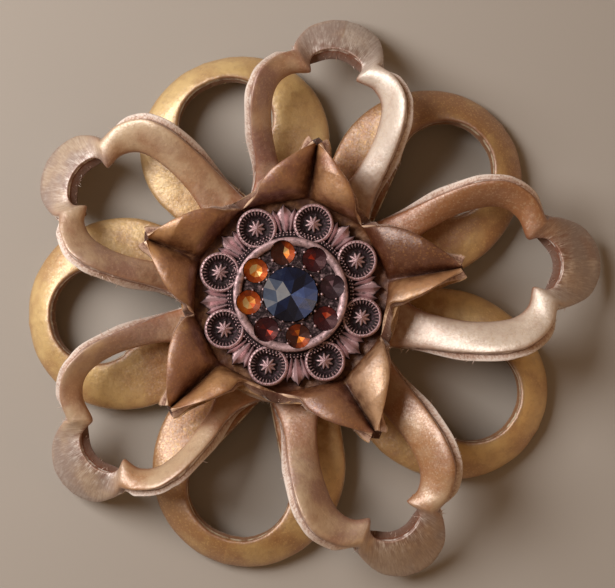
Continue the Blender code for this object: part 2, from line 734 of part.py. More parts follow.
def build():
    """Makes the whole flower."""
    clear_scene()
    flower = bpy.data.objects.new("flower_concho", None)
    bpy.context.scene.collection.objects.link(flower)
    gold = make_material("pale_gold_leather", (0.52, 0.43, 0.24), 0.42, 0.45)
    champagne = make_material("champagne_leather", (0.45, 0.33, 0.20), 0.42, 0.45)
    bronze = make_material("bronze_leather", (0.32, 0.19, 0.10), 0.42, 0.45)
    copper = make_material("antique_copper", (0.42, 0.30, 0.30), 0.35, 1.0)
    steel = make_material("screw_steel", (0.45, 0.42, 0.38), 0.35, 1.0)
    blue = make_material("dark_blue_glass", (0.03, 0.04, 0.08), 0.05, 0.0)
    amber = make_material("amber_glass", (0.45, 0.15, 0.03), 0.05, 0.0)
    back = Layer("back_petals", BACK_PETALS, back_rows, BACK_TOP, BACK_THICKNESS,
                 BACK_LENGTH, BACK_HALF_WIDTH, opening=BACK_OPENING_HALF_WIDTH)
    middle = Layer("middle_petals", MIDDLE_PETALS, middle_rows, MIDDLE_TOP, MIDDLE_THICKNESS,
                   MIDDLE_LENGTH, MIDDLE_HALF_WIDTH, MIDDLE_SIDE_RISE, MIDDLE_OPENING_HALF_WIDTH)
    inner = Layer("inner_petals", INNER_PETALS, inner_rows, INNER_TOP, INNER_THICKNESS,
                  INNER_LENGTH, INNER_HALF_WIDTH, INNER_RIM_RISE)
    layers = [
        add_leather_layer(back, flower, gold),
        add_leather_layer(middle, flower, champagne),
        add_leather_layer(inner, flower, bronze),
    ]
    add_metal_concho(flower, copper)
    add_stones(flower, blue, amber)
    add_screw(flower, steel)
    stand_on_floor(flower, layers)


build()
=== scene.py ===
"""Dressed scene of the layered leather flower concho.

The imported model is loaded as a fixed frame, and each of its pieces is built again in fine detail in the same
place: three layers of cut leather, the cast berry concho, its nine stones and the screw behind it. Lengths
are in metres and angles in degrees, unless a name ends in mm.
"""
import logging
import math
from collections.abc import Callable
from dataclasses import dataclass
from enum import Enum
from functools import partial

import bmesh
import bpy
import numpy as np
from bmesh.types import BMesh
from bpy.types import Material, Mesh, NodeSocket, NodeTree, Object
from mathutils import Matrix, Vector, noise


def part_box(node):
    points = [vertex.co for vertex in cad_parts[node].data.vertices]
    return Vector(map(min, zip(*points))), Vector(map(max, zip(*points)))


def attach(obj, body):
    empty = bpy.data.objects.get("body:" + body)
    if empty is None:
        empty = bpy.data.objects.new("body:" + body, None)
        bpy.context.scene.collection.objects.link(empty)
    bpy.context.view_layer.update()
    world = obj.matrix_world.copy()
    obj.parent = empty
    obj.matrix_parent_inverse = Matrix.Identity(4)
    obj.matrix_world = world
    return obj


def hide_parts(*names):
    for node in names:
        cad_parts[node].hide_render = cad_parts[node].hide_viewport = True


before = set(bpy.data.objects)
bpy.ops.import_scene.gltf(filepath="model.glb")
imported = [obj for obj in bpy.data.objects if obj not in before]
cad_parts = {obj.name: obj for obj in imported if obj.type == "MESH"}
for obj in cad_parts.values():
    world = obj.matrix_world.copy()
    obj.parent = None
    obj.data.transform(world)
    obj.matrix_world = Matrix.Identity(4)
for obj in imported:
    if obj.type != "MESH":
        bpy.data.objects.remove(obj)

LOG = logging.getLogger("flower_concho")
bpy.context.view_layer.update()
BODY = "root"
MM = 0.001
CONTACT_GAP = 0.0003
# Points closer together than this are one point
MERGE = 1e-7
# Points closer together than this are welded after a cut
WELD = 1e-6
# Distance to a cut edge that is given to points with no cut near them
FAR_MM = 9.0


def linear(hex_text: str) -> tuple[float, float, float, float]:
    """Turns an sRGB hex colour into a linear one.

    Args:
        hex_text: six hex digits after a hash sign.

    Returns:
        Linear red, green, blue and an alpha of one.
    """
    parts = [int(hex_text[i:i + 2], 16) / 255 for i in (1, 3, 5)]
    return (*(p / 12.92 if p <= 0.04045 else ((p + 0.055) / 1.055) ** 2.4 for p in parts), 1.0)


def per_mm(size: float) -> float:
    """Gives the texture scale at which a pattern's features are size millimetres wide."""
    return 1000 / size


def clamp(value: float) -> float:
    """Keeps a number between 0 and 1."""
    return min(1.0, max(0.0, value))


def add_node(tree: NodeTree, kind: str, values: dict | tuple = (), out: int | str = 0,
             **settings: object) -> NodeSocket | None:
    """Adds a node with its settings, values and links.

    Args:
        tree: the node tree that takes the node.
        kind: the node's type name, in which ShaderNode may be left out.
        values: sockets to link and plain values, by the input's name or number, or in the inputs' order.
        out: the output that is wanted.
        **settings: properties of the node.

    Returns:
        The wanted output, or None from a node that has none.
    """
    node = tree.nodes.new(kind if "Node" in kind else f"ShaderNode{kind}")
    for name, value in settings.items():
        setattr(node, name, value)
    for key, value in (values if isinstance(values, dict) else dict(enumerate(values))).items():
        if isinstance(value, NodeSocket):
            tree.links.new(value, node.inputs[key])
        else:
            node.inputs[key].default_value = value
    return node.outputs[out] if node.outputs else None


def new_material(name: str) -> tuple[Material, Callable[..., NodeSocket]]:
    """Makes an empty material.

    Args:
        name: the material's name.

    Returns:
        The material, and add_node for its tree.
    """
    material = bpy.data.materials.new(name)
    material.use_nodes = True
    material.node_tree.nodes.clear()
    return material, partial(add_node, material.node_tree)


def add_piece(name: str, mesh: Mesh) -> Object:
    """Links a mesh to the scene as an object at the origin.

    Args:
        name: the object's name.
        mesh: its mesh.

    Returns:
        The object.
    """
    piece = bpy.data.objects.new(name, mesh)
    bpy.context.scene.collection.objects.link(piece)
    return piece


def settle(piece: Object, slot: str, *nodes: str) -> None:
    """Ties a finished piece to the frame and reports it.

    Args:
        piece: the finished object.
        slot: the record's material slot.
        *nodes: CAD nodes that it stands for.
    """
    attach(piece, BODY)
    if nodes:
        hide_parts(*nodes)
    LOG.info("%s: %d faces, slot %s", piece.name, len(piece.data.polygons), slot)


def write_values(mesh: Mesh, name: str, numbers: np.ndarray | list, domain: str = "POINT") -> None:
    """Writes a float attribute of a mesh.

    Args:
        mesh: the mesh.
        name: the attribute's name.
        numbers: one value for each of its elements.
        domain: the kind of element.
    """
    layer = mesh.attributes.new(name, "FLOAT", domain)
    layer.data.foreach_set("value", np.asarray(numbers, dtype=np.float32))


def mesh_from(name: str, points: np.ndarray, faces: list, materials: list[Material],
              indices: np.ndarray | None = None, values: dict[str, np.ndarray] | None = None) -> Mesh:
    """Makes a smooth mesh from points and faces.

    Args:
        name: the mesh's name.
        points: one row of three coordinates per point.
        faces: corner indices of each face.
        materials: the mesh's materials.
        indices: each face's material, or None for the first.
        values: float attributes by name, one value per point.

    Returns:
        The mesh.
    """
    mesh = bpy.data.meshes.new(name)
    mesh.from_pydata([tuple(p) for p in points], [], [tuple(int(i) for i in f) for f in faces])
    for material in materials:
        mesh.materials.append(material)
    mesh.polygons.foreach_set("use_smooth", np.ones(len(mesh.polygons), dtype=bool))
    if indices is not None:
        mesh.polygons.foreach_set("material_index", indices.astype(np.int32))
    for key, numbers in (values or {}).items():
        write_values(mesh, key, numbers)
    mesh.update()
    return mesh


def finish_mesh(name: str, bm: BMesh, materials: list[Material], degrees: float = 35) -> Mesh:
    """Turns a bmesh into a mesh, smooth except at its sharp edges.

    Args:
        name: the mesh's name.
        bm: the shape, which is freed.
        materials: the mesh's materials.
        degrees: bends beyond this angle stay sharp.

    Returns:
        The mesh.
    """
    limit = math.radians(degrees)
    for face in bm.faces:
        face.smooth = True
    for edge in bm.edges:
        edge.smooth = len(edge.link_faces) == 2 and edge.calc_face_angle(0) < limit
    mesh = bpy.data.meshes.new(name)
    bm.to_mesh(mesh)
    bm.free()
    for material in materials:
        mesh.materials.append(material)
    return mesh


def bridge(bm: BMesh, rings: list[list]) -> None:
    """Joins rings of points with faces, each to the one after it.

    Args:
        bm: the shape.
        rings: the rings; one of a single point is a pole.
    """
    for first, second in zip(rings, rings[1:]):
        count = max(len(first), len(second))
        for i in range(count):
            j = (i + 1) % count
            corners = (first[i % len(first)], first[j % len(first)],
                       second[j % len(second)], second[i % len(second)])
            bm.faces.new(list(dict.fromkeys(corners)))


def turned(profile: list[tuple[float, float]], segments: int) -> BMesh:
    """Spins a profile of radius and height, from axis to axis, about Z.

    Args:
        profile: the half section's points.
        segments: steps round the axis.

    Returns:
        The closed shape, with its faces pointing outwards.
    """
    bm = bmesh.new()
    rings = []
    for radius, height in profile:
        steps = 1 if radius == 0 else segments
        turns = [2 * math.pi * i / segments for i in range(steps)]
        rings.append([bm.verts.new((radius * math.cos(a), radius * math.sin(a), height)) for a in turns])
    bridge(bm, rings)
    bmesh.ops.recalc_face_normals(bm, faces=bm.faces)
    return bm


def join_into(target: BMesh, source: BMesh, matrix: Matrix) -> None:
    """Copies a shape into another one.

    Args:
        target: the shape that grows.
        source: the shape to copy, which stays as it is.
        matrix: where the copy goes.
    """
    mesh = bpy.data.meshes.new("joining")
    source.to_mesh(mesh)
    mesh.transform(matrix)
    target.from_mesh(mesh)
    bpy.data.meshes.remove(mesh)


def cut_away(shape: BMesh, cutter: BMesh, overlapping: bool) -> BMesh:
    """Cuts one shape out of another.

    Args:
        shape: the shape that is cut; it is freed.
        cutter: the shape that is taken away; it is freed.
        overlapping: whether parts of the cutter run into each other.

    Returns:
        What is left.
    """
    whole = add_piece("whole", finish_mesh("whole", shape, []))
    guide = add_piece("cutter", finish_mesh("cutter", cutter, []))
    boolean = whole.modifiers.new("cut", "BOOLEAN")
    boolean.object = guide
    boolean.operation = "DIFFERENCE"
    boolean.solver = "EXACT"
    boolean.use_self = overlapping
    graph = bpy.context.evaluated_depsgraph_get()
    mesh = bpy.data.meshes.new_from_object(whole.evaluated_get(graph))
    for done in (guide, whole):
        bpy.data.objects.remove(done, do_unlink=True)
    left = bmesh.new()
    left.from_mesh(mesh)
    bpy.data.meshes.remove(mesh)
    return left


def catmull_rom(points: list, places: np.ndarray) -> np.ndarray:
    """Reads a smooth curve through points.

    Args:
        points: the points that it passes through.
        places: where to read it, counted in points from the first one.

    Returns:
        One row per place.
    """
    points = np.asarray(points, dtype=float)
    ends = np.vstack([2 * points[0] - points[1], points, 2 * points[-1] - points[-2]])
    index = np.minimum(places.astype(int), len(points) - 2)
    t = (places - index)[:, None]
    a, b, c, d = (ends[index + step] for step in range(4))
    bend, twist = 2 * a - 5 * b + 4 * c - d, 3 * b - a - 3 * c + d
    return 0.5 * (2 * b + (c - a) * t + bend * t ** 2 + twist * t ** 3)


def wobble(points: np.ndarray, size: float, seed: float) -> np.ndarray:
    """Reads seeded noise at points.

    Args:
        points: one row per point.
        size: width of the noise's features.
        seed: shifts the noise.

    Returns:
        Values of about -1 to 1.
    """
    shift = Vector((seed, seed * 0.37, -seed * 0.71))
    return np.array([noise.noise(Vector(p) / size + shift) for p in points])


@dataclass(frozen=True)
class PearlLeather:
    """Vegetable-tanned leather, pearl-painted on its grain side: a satin skin of mica flakes over grain."""

    name: str
    light: str
    base: str
    deep: str
    dusk: str
    worn: str
    line: str
    blush: str
    # Width of the pale band along cut edges: worn paint, and a painted highlight of the rounded edge
    rub_mm: float = 0.4
    line_strength: float = 0.8
    pearl: float = 0.95
    metallic: float = 0.15
    roughness: float = 0.52
    grain_mm: float = 0.75
    # Mica flakes are under 0.1 mm, and are drawn 0.24 mm wide so that their glitter shows
    flake_mm: float = 0.24
    flake_tilt: float = 0.24
    streak_mm: tuple[float, float] = (0.32, 2.6)
    # How much the paint beside every cut darkens: thinner paint there, and painted shade on the rounded edge
    edge_thin_paint_and_shade: float = 0.4

    def make(self) -> Material:
        """Builds the material from the piece's attributes: edge_mm, tone, tint, pale, outer, run_mm,
        across_mm, and the painted shade by the hub and in the keel.

        Returns:
            The material.
        """
        material, node = new_material(self.name)
        point = node("TexCoord", out="Object")
        edge, tone, painted_shade_read, tint, pale, outer, run, across = (
            node("Attribute", out="Fac", attribute_name=name)
            for name in ("edge_mm", "tone", "painted_shade", "tint", "pale", "outer", "run_mm", "across_mm"))
        drift, cloud, mottle, fine = (
            node("TexNoise", {"Vector": point, "Scale": per_mm(size), "Detail": detail, "Roughness": rough})
            for size, detail, rough in ((13, 1.0, 0.5), (8, 3.0, 0.5), (1.6, 5.0, 0.6), (0.3, 2.0, 0.5)))
        stretched = node("VectorMath", (node("CombineXYZ", (run, across)), (
            1 / self.streak_mm[0], 1 / self.streak_mm[1], 0)), operation="MULTIPLY")
        streak = node("TexNoise", {"Vector": stretched, "Scale": 1.0, "Detail": 3.0})
        flake = node("TexVoronoi", {"Vector": point, "Scale": per_mm(self.flake_mm)}, out="Color")
        glitter = node("SeparateColor", (flake,))

        # Each row turns a range of a value into a share of a coat
        share = {name: node("MapRange", values, interpolation_type="SMOOTHSTEP") for name, values in {
            "blush patches": (drift, 0.40, 0.60, 0.0, 0.9),
            "blush by half": (tint, 0.0, 1.0, 0.6, -0.6),
            "pale patches": (cloud, 0.38, 0.62, 0.0, 0.75),
            # The next two rows paint light and shade by half: a half's pale value browns it as painted shade
            # or whitens it as a painted highlight
            "painted shade by half": (pale, 0.0, -1.0, 0.0, 0.6),
            "painted highlight by half": (pale, 0.4, 1.0, 0.0, 0.7),
            "mottling": (mottle, 0.46, 0.74, 0.0, 0.25),
            "bright flakes": (glitter, 0.7, 1.0, 0.0, 0.4),
            "dusk patches": (cloud, 0.40, 0.60, 1.0, 0.45),
            "near the cut-out": (across, 0.8, 5.0, 1.0, 0.3),
            "bare patches": (mottle, 0.4, 0.6, 0.0, 1.0),
            "bright streaks": (streak, 0.44, 0.64, 0.0, 0.85),
            "dark streaks": (streak, 0.56, 0.38, 0.0, 0.75),
            "painted shade patches": (mottle, 0.3, 0.6, 0.6, 1.0),
            # Beside every cut the paint is thinner and also painted darker as shade; beside the cut-outs more
            # painted shade darkens the rolled inner edges
            "thin paint and shade by edges": (edge, 0.3, 2.0, self.edge_thin_paint_and_shade, 0.0),
            "painted shade on inner edges": (edge, 0.2, 1.3, 0.55, 0.0),
            "thin patches": (cloud, 0.35, 0.55, 0.45, 1.0),
            "off the end lobe": (tone, 0.0, 1.0, 1.0, 0.6),
            # Along the cut edges the worn colour is both rubbed paint and a painted highlight of the rounded
            # edge
            "rubbed and lit edge": (edge, 0.15 * self.rub_mm, self.rub_mm, 1.0, 0.0),
            "rubbed patches": (mottle, 0.36, 0.56, 0.0, 1.0),
            "edge line": (edge, 0.05, 0.32, self.line_strength, 0.0),
            "line patches": (mottle, 0.62, 0.42, 0.0, 1.0),
            "roughness": (glitter, 0.0, 1.0, self.roughness + 0.06, self.roughness - 0.1),
        }.items()}
        # Darkening beside the cuts: thinner paint, plus painted shade that is stronger on the cut-outs' inner
        # edges
        inside = node("Math", (1.0, outer), operation="SUBTRACT")
        thin = node("Math", (inside, share["painted shade on inner edges"], share["thin paint and shade by edges"]),
                    operation="MULTIPLY_ADD")
        products = []
        for first, *others in (
                (tone, share["dusk patches"]),
                (tone, share["near the cut-out"], share["dark streaks"]),
                (tone, share["near the cut-out"], share["bare patches"], share["bright streaks"]),
                # Painted shade by the hub and in the keel, in patches
                (painted_shade_read, share["painted shade patches"]),
                (thin, share["thin patches"], share["off the end lobe"]),
                (share["rubbed and lit edge"], share["rubbed patches"]),
                (share["edge line"], share["line patches"]),
                (streak, tone)):
            for other in others:
                first = node("Math", (first, other), operation="MULTIPLY")
            products.append(first)
        dusky, shadowed, bared, painted_shade, thinned_and_shaded, rubbed, lined, streaked = products
        blushing = node("Math", (share["blush patches"], share["blush by half"]), operation="ADD")
        # Pale patches at random, plus each half's painted highlight or painted shade
        pale_patches_and_painted_light = node("Math", (share["pale patches"], pale), operation="ADD")

        colour = linear(self.base)
        # Among these coats, the browning by half, the deep colour by the hub and keel and part of it beside
        # the cuts are painted shade; the whitening by half and part of the worn colour along the cut edges are
        # painted highlight
        for amount, shade in (
                (blushing, self.blush), (pale_patches_and_painted_light, self.light), (share["painted shade by half"], self.deep),
                (share["painted highlight by half"], self.worn), (share["mottling"], self.deep),
                (share["bright flakes"], self.light), (dusky, self.dusk), (shadowed, self.line),
                (bared, self.worn), (painted_shade, self.deep), (thinned_and_shaded, self.deep), (rubbed, self.worn),
                (lined, self.line)):
            colour = node("Mix", {0: amount, 6: colour, 7: linear(shade)}, out=2, data_type="RGBA")
        # Where shade is painted dark by the hub and in the keel, the skin of flakes is thinned, so that the
        # painted shade stays dark
        skin = node("MapRange", (painted_shade, 0.1, 0.8, self.pearl, 0.1), interpolation_type="SMOOTHSTEP")
        off = node("VectorMath", (flake, (0.5, 0.5, 0.5)), operation="SUBTRACT")
        tilted = node("VectorMath", (off, (self.flake_tilt,) * 3, node("NewGeometry", out="Normal")),
                      operation="MULTIPLY_ADD")
        grain = node("TexVoronoi", {"Vector": point, "Scale": per_mm(self.grain_mm)}, out="Distance",
                     feature="SMOOTH_F1")
        height = 0.0
        for part, weight in ((grain, 0.6), (fine, 0.5), (mottle, 1.4), (streaked, 0.7)):
            height = node("Math", (part, weight, height), operation="MULTIPLY_ADD")
        # The flakes' skin of titanium dioxide bends light far more than glass does, with an IOR of 2.2 to 2.6
        node("OutputMaterial", (node("BsdfPrincipled", {
            "Base Color": colour, "Metallic": self.metallic, "Roughness": share["roughness"],
            "Coat Weight": skin, "Coat Roughness": 0.5, "Coat IOR": 2.5,
            "Coat Normal": node("VectorMath", (tilted,), operation="NORMALIZE"),
            "Normal": node("Bump", {"Strength": 0.8, "Distance": 0.12 * MM, "Height": height})}),))
        return material


@dataclass(frozen=True)
class RawCutEdge:
    """Knife-cut wall of leather, left raw: matt, fibrous, with a burnished line along the grain side."""

    name: str
    line: str
    dark: str
    middle: str
    pale: str
    # Colour of painted shade: the walls of the cut-outs, and walls where the hub's painted shade lies, are
    # painted this dark brown
    shade_colour: str
    thickness_mm: float
    fibre_mm: tuple[float, float] = (0.42, 1.1)
    patch_mm: float = 4.5

    def make(self) -> Material:
        """Builds the material from the piece's run_mm, wall, outer and tone, and its painted shade by the hub
        and in the keel.

        Returns:
            The material.
        """
        material, node = new_material(self.name)
        run, wall, outer, lobe, painted_shade = (node("Attribute", out="Fac", attribute_name=name)
                                         for name in ("run_mm", "wall", "outer", "tone", "painted_shade"))
        stretched = node("VectorMath", (node("CombineXYZ", (run, wall)), (
            1 / self.fibre_mm[0], self.thickness_mm / self.fibre_mm[1], 0)), operation="MULTIPLY")
        fibre = node("TexNoise", {"Vector": stretched, "Scale": 1.0, "Detail": 4.0, "Roughness": 0.65})
        point = node("TexCoord", out="Object")
        patch = node("TexNoise", {"Vector": point, "Scale": per_mm(self.patch_mm), "Detail": 2.0})
        tone = node("MapRange", (wall, 0.4, 1.0, 0.0, 0.22), interpolation_type="SMOOTHSTEP")
        for part, weight in ((fibre, 0.75), (patch, 0.35)):
            tone = node("Math", (part, weight, tone), operation="MULTIPLY_ADD")
        # The walls of the cut-outs, less so on the end lobe, are painted dark as shade; so are walls under the
        # hub's painted shade
        inside = node("Math", (1.0, outer), operation="SUBTRACT")
        for part, weight in ((lobe, -0.4), (fibre, 0.5)):
            inside = node("Math", (part, weight, inside), operation="MULTIPLY_ADD")
        cut_out_wall_shade, line, patchy = (node("MapRange", values, interpolation_type="SMOOTHSTEP") for values in (
            (inside, 0.3, 0.8, 0.0, 0.9), (wall, 0.04, 0.28, 1.0, 0.0), (fibre, 0.35, 0.6, 1.0, 0.35)))
        colour = linear(self.dark)
        for amount, shade in (
                (node("MapRange", (tone, 0.32, 0.48)), self.middle),
                (node("MapRange", (tone, 0.48, 0.68)), self.pale),
                (cut_out_wall_shade, self.shade_colour), (node("Math", (painted_shade, 0.9), operation="MULTIPLY"), self.shade_colour),
                (node("Math", (line, patchy), operation="MULTIPLY"), self.line)):
            colour = node("Mix", {0: amount, 6: colour, 7: linear(shade)}, out=2, data_type="RGBA")
        node("OutputMaterial", (node("BsdfPrincipled", {
            "Base Color": colour, "Roughness": 0.82, "Sheen Weight": 0.25, "Sheen Roughness": 0.5,
            "Normal": node("Bump", {"Strength": 0.7, "Distance": 0.1 * MM, "Height": fibre})}),))
        return material


@dataclass(frozen=True)
class FleshSide:
    """Flesh side of vegetable-tanned leather, unpainted: matt suede nap with loose fibres."""

    name: str
    dark: str
    pale: str
    nap_mm: float = 0.55
    patch_mm: float = 6.0

    def make(self) -> Material:
        """Builds the material from the place on the piece.

        Returns:
            The material.
        """
        material, node = new_material(self.name)
        point = node("TexCoord", out="Object")
        nap = node("TexNoise", {"Vector": point, "Scale": per_mm(self.nap_mm), "Detail": 5.0,
                                "Roughness": 0.7})
        patch = node("TexNoise", {"Vector": point, "Scale": per_mm(self.patch_mm), "Detail": 2.0})
        tone = 0.0
        for part, weight in ((patch, 0.3), (nap, 0.7)):
            tone = node("Math", (part, weight, tone), operation="MULTIPLY_ADD")
        tone = node("MapRange", (tone, 0.35, 0.65))
        colour = node("Mix", {0: tone, 6: linear(self.dark), 7: linear(self.pale)}, out=2, data_type="RGBA")
        node("OutputMaterial", (node("BsdfPrincipled", {
            "Base Color": colour, "Roughness": 0.92, "Sheen Weight": 0.35,
            "Normal": node("Bump", {"Strength": 0.8, "Distance": 0.2 * MM, "Height": nap})}),))
        return material


@dataclass(frozen=True)
class LooseFibre:
    """Single collagen fibres that stand out of the cut edge: matt, pale, and soft against the light."""

    name: str
    dark: str
    pale: str
    tuft_mm: float = 1.2

    def make(self) -> Material:
        """Builds the material, whose tint changes from tuft to tuft.

        Returns:
            The material.
        """
        material, node = new_material(self.name)
        tuft = node("TexNoise", {"Vector": node("TexCoord", out="Object"), "Scale": per_mm(self.tuft_mm),
                                 "Detail": 2.0})
        tone = node("MapRange", (tuft, 0.38, 0.62))
        colour = node("Mix", {0: tone, 6: linear(self.dark), 7: linear(self.pale)}, out=2, data_type="RGBA")
        node("OutputMaterial", (node("BsdfPrincipled", {
            "Base Color": colour, "Roughness": 0.8, "Sheen Weight": 0.3}),))
        return material


@dataclass(frozen=True)
class AntiqueCopper:
    """Zinc casting, copper-plated, blackened and rubbed back: pink-brown heights with soot between them."""

    name: str
    bright: str
    worn: str
    soot: str
    metallic: float = 0.6
    roughness: float = 0.4
    patina_mm: float = 0.7
    speck_mm: float = 0.25

    def make(self) -> Material:
        """Builds the material; it reads relief, 0 in a recess and 1 on a height, from the piece.

        Returns:
            The material.
        """
        material, node = new_material(self.name)
        point = node("TexCoord", out="Object")
        relief = node("Attribute", out="Fac", attribute_name="relief")
        patina = node("TexNoise", {"Vector": point, "Scale": per_mm(self.patina_mm), "Detail": 5.0,
                                   "Roughness": 0.65})
        speck = node("TexNoise", {"Vector": point, "Scale": per_mm(self.speck_mm), "Detail": 2.0})
        spread = node("Math", (patina, 0.5), operation="SUBTRACT")
        rubbed = node("Math", (spread, 0.9, relief), operation="MULTIPLY_ADD")
        bare, spotted, rough = (node("MapRange", values, interpolation_type="SMOOTHSTEP") for values in (
            (rubbed, 0.2, 0.62, 0.0, 1.0), (speck, 0.5, 0.75, 0.0, 0.35),
            (rubbed, 0.3, 0.9, 0.6, self.roughness)))
        colour = linear(self.soot)
        for amount, shade in ((bare, self.bright), (spotted, self.worn)):
            colour = node("Mix", {0: amount, 6: colour, 7: linear(shade)}, out=2, data_type="RGBA")
        height = node("Math", (speck, 0.5, patina), operation="MULTIPLY_ADD")
        node("OutputMaterial", (node("BsdfPrincipled", {
            "Base Color": colour, "Metallic": self.metallic, "Roughness": rough,
            "Normal": node("Bump", {"Strength": 0.7, "Distance": 0.07 * MM, "Height": height})}),))
        return material


class StoneTint(Enum):
    """Tints of the cut stones, from the foil's dark facets to its brightest, whose colours are painted glints
    and reflections.
    """

    AMBER = ("#4A2A22", "#BC5018", "#FF9C34", "#FFE6A0")
    GARNET = ("#402024", "#6E2824", "#E04824", "#FFB488")
    SMOKE = ("#3A2A30", "#5A424A", "#9A7A86", "#E8C0C8")
    NIGHT = ("#1C1C28", "#2E3E6A", "#8098BE", "#DCE8F4")


@dataclass(frozen=True)
class CutGlass:
    """Machine-cut lead glass, polished: clear crown over a foiled back that throws the light out again."""

    tint: StoneTint
    cloud_mm: float = 0.9
    # Where the painted glint moves on from one tint to the next
    glint_steps: tuple[float, ...] = (0.08, 0.4, 0.7, 1.0)

    def crown(self) -> Material:
        """Builds the glass of the crown: see-through by its alpha, so that light reaches the foil.

        Returns:
            The material.
        """
        material, node = new_material(f"cut_glass_{self.tint.name.lower()}")
        node("OutputMaterial", (node("BsdfPrincipled", {
            "Base Color": linear(self.tint.value[0]), "Roughness": 0.08, "IOR": 1.75, "Alpha": 0.16}),))
        return material

    def foil(self) -> Material:
        """Builds the lacquered mirror foil of the back facets, with painted reflections; it reads how bright
        each facet's glint is painted.

        Returns:
            The material.
        """
        material, node = new_material(f"stone_foil_{self.tint.name.lower()}")
        painted_glint = node("Attribute", out="Fac", attribute_name="painted_glint")
        cloudy = node("TexNoise", {"Vector": node("TexCoord", out="Object"), "Scale": per_mm(self.cloud_mm),
                                   "Detail": 3.0})
        spread = node("Math", (cloudy, 0.5), operation="SUBTRACT")
        level = node("Math", (spread, 0.2, painted_glint), operation="MULTIPLY_ADD")
        colour = linear(self.tint.value[0])
        for low, high, shade in zip(self.glint_steps, self.glint_steps[1:], self.tint.value[1:]):
            colour = node("Mix", {0: node("MapRange", (level, low, high)), 6: colour, 7: linear(shade)},
                          out=2, data_type="RGBA")
        node("OutputMaterial", (node("BsdfPrincipled", {
            "Base Color": colour, "Metallic": 0.3, "Roughness": 0.4, "Specular IOR Level": 0.25}),))
        return material


@dataclass(frozen=True)
class TurnedSteel:
    """Turned and tumbled steel: grey metal with the lathe's fine circles, which shade it in rings."""

    name: str
    centre: Vector
    dark: str = "#7E7A74"
    pale: str = "#A8A49C"
    # The lathe's marks are under 0.1 mm apart, and are drawn 2.2 mm apart so that they show
    ring_mm: float = 2.2
    scuff_mm: float = 1.1

    def make(self) -> Material:
        """Builds the material, with its rings about the screw's axis.

        Returns:
            The material.
        """
        material, node = new_material(self.name)
        point = node("Mapping", {"Vector": node("TexCoord", out="Object"),
                                 "Location": (-self.centre.x, -self.centre.y, 0)})
        rings = node("TexWave", {"Vector": point, "Scale": per_mm(self.ring_mm), "Distortion": 0.6,
                                 "Detail": 2.0}, out="Fac", wave_type="RINGS", rings_direction="Z")
        scuff = node("TexNoise", {"Vector": point, "Scale": per_mm(self.scuff_mm), "Detail": 5.0})
        tone = node("MapRange", (scuff, 0.35, 0.65))
        colour = node("Mix", {0: tone, 6: linear(self.dark), 7: linear(self.pale)}, out=2, data_type="RGBA")
        rough = node("MapRange", (scuff, 0.3, 0.7, 0.28, 0.45), interpolation_type="SMOOTHSTEP")
        node("OutputMaterial", (node("BsdfPrincipled", {
            "Base Color": colour, "Metallic": 1.0, "Roughness": rough,
            "Normal": node("Bump", {"Strength": 0.25, "Distance": 0.03 * MM, "Height": rings})}),))
        return material


def new_tree(name: str, inputs: dict[str, str]) -> tuple[NodeTree, Callable[..., NodeSocket], dict]:
    """Starts a Geometry Nodes tree that takes and gives one geometry.

    Args:
        name: the tree's name.
        inputs: its other inputs, with the type of each.

    Returns:
        The tree, add_node for it, and the sockets of its inputs by name.
    """
    tree = bpy.data.node_groups.new(name, "GeometryNodeTree")
    for label, way, kind in (("Geometry", "INPUT", "Geometry"), ("Geometry", "OUTPUT", "Geometry"),
                             *((label, "INPUT", kind) for label, kind in inputs.items())):
        tree.interface.new_socket(label, in_out=way, socket_type=f"NodeSocket{kind}")
    given = add_node(tree, "NodeGroupInput").node.outputs
    return tree, partial(add_node, tree), {socket.name: socket for socket in given if socket.name}


def end_tree(node: Callable[..., NodeSocket], instances: NodeSocket, material: Material,
             smooth: bool) -> None:
    """Ends a Geometry Nodes tree: its instances become plain faces with their material.

    Args:
        node: add_node for the tree.
        instances: the instances.
        material: their material.
        smooth: whether they are shaded smooth.
    """
    real = node("GeometryNodeRealizeInstances", {"Geometry": instances})
    shaded = node("GeometryNodeSetShadeSmooth", {"Geometry": real, "Shade Smooth": smooth})
    node("NodeGroupOutput", (node("GeometryNodeSetMaterial", {"Geometry": shaded, "Material": material}),))


def run_nodes(mesh: Mesh, tree: NodeTree, values: dict[str, object], name: str) -> Mesh:
    """Runs a Geometry Nodes tree on a mesh and keeps its result as a plain mesh.

    Args:
        mesh: the tree's input, which is removed.
        tree: the tree, which is removed.
        values: its inputs by name.
        name: the new mesh's name.

    Returns:
        The plain mesh.
    """
    carrier = add_piece("carrier", mesh)
    modifier = carrier.modifiers.new("nodes", "NODES")
    modifier.node_group = tree
    for item in tree.interface.items_tree:
        if item.item_type == "SOCKET" and item.in_out == "INPUT" and item.name in values:
            modifier[item.identifier] = values[item.name]
    graph = bpy.context.evaluated_depsgraph_get()
    result = bpy.data.meshes.new_from_object(carrier.evaluated_get(graph))
    result.name = name
    carrier.modifiers.clear()
    bpy.data.objects.remove(carrier, do_unlink=True)
    bpy.data.meshes.remove(mesh)
    bpy.data.node_groups.remove(tree)
    return result


class ToothShape(Enum):
    """Single shapes that Geometry Nodes set out in rings."""

    BEAD = "GeometryNodeMeshUVSphere"
    SPIKE = "GeometryNodeMeshCone"


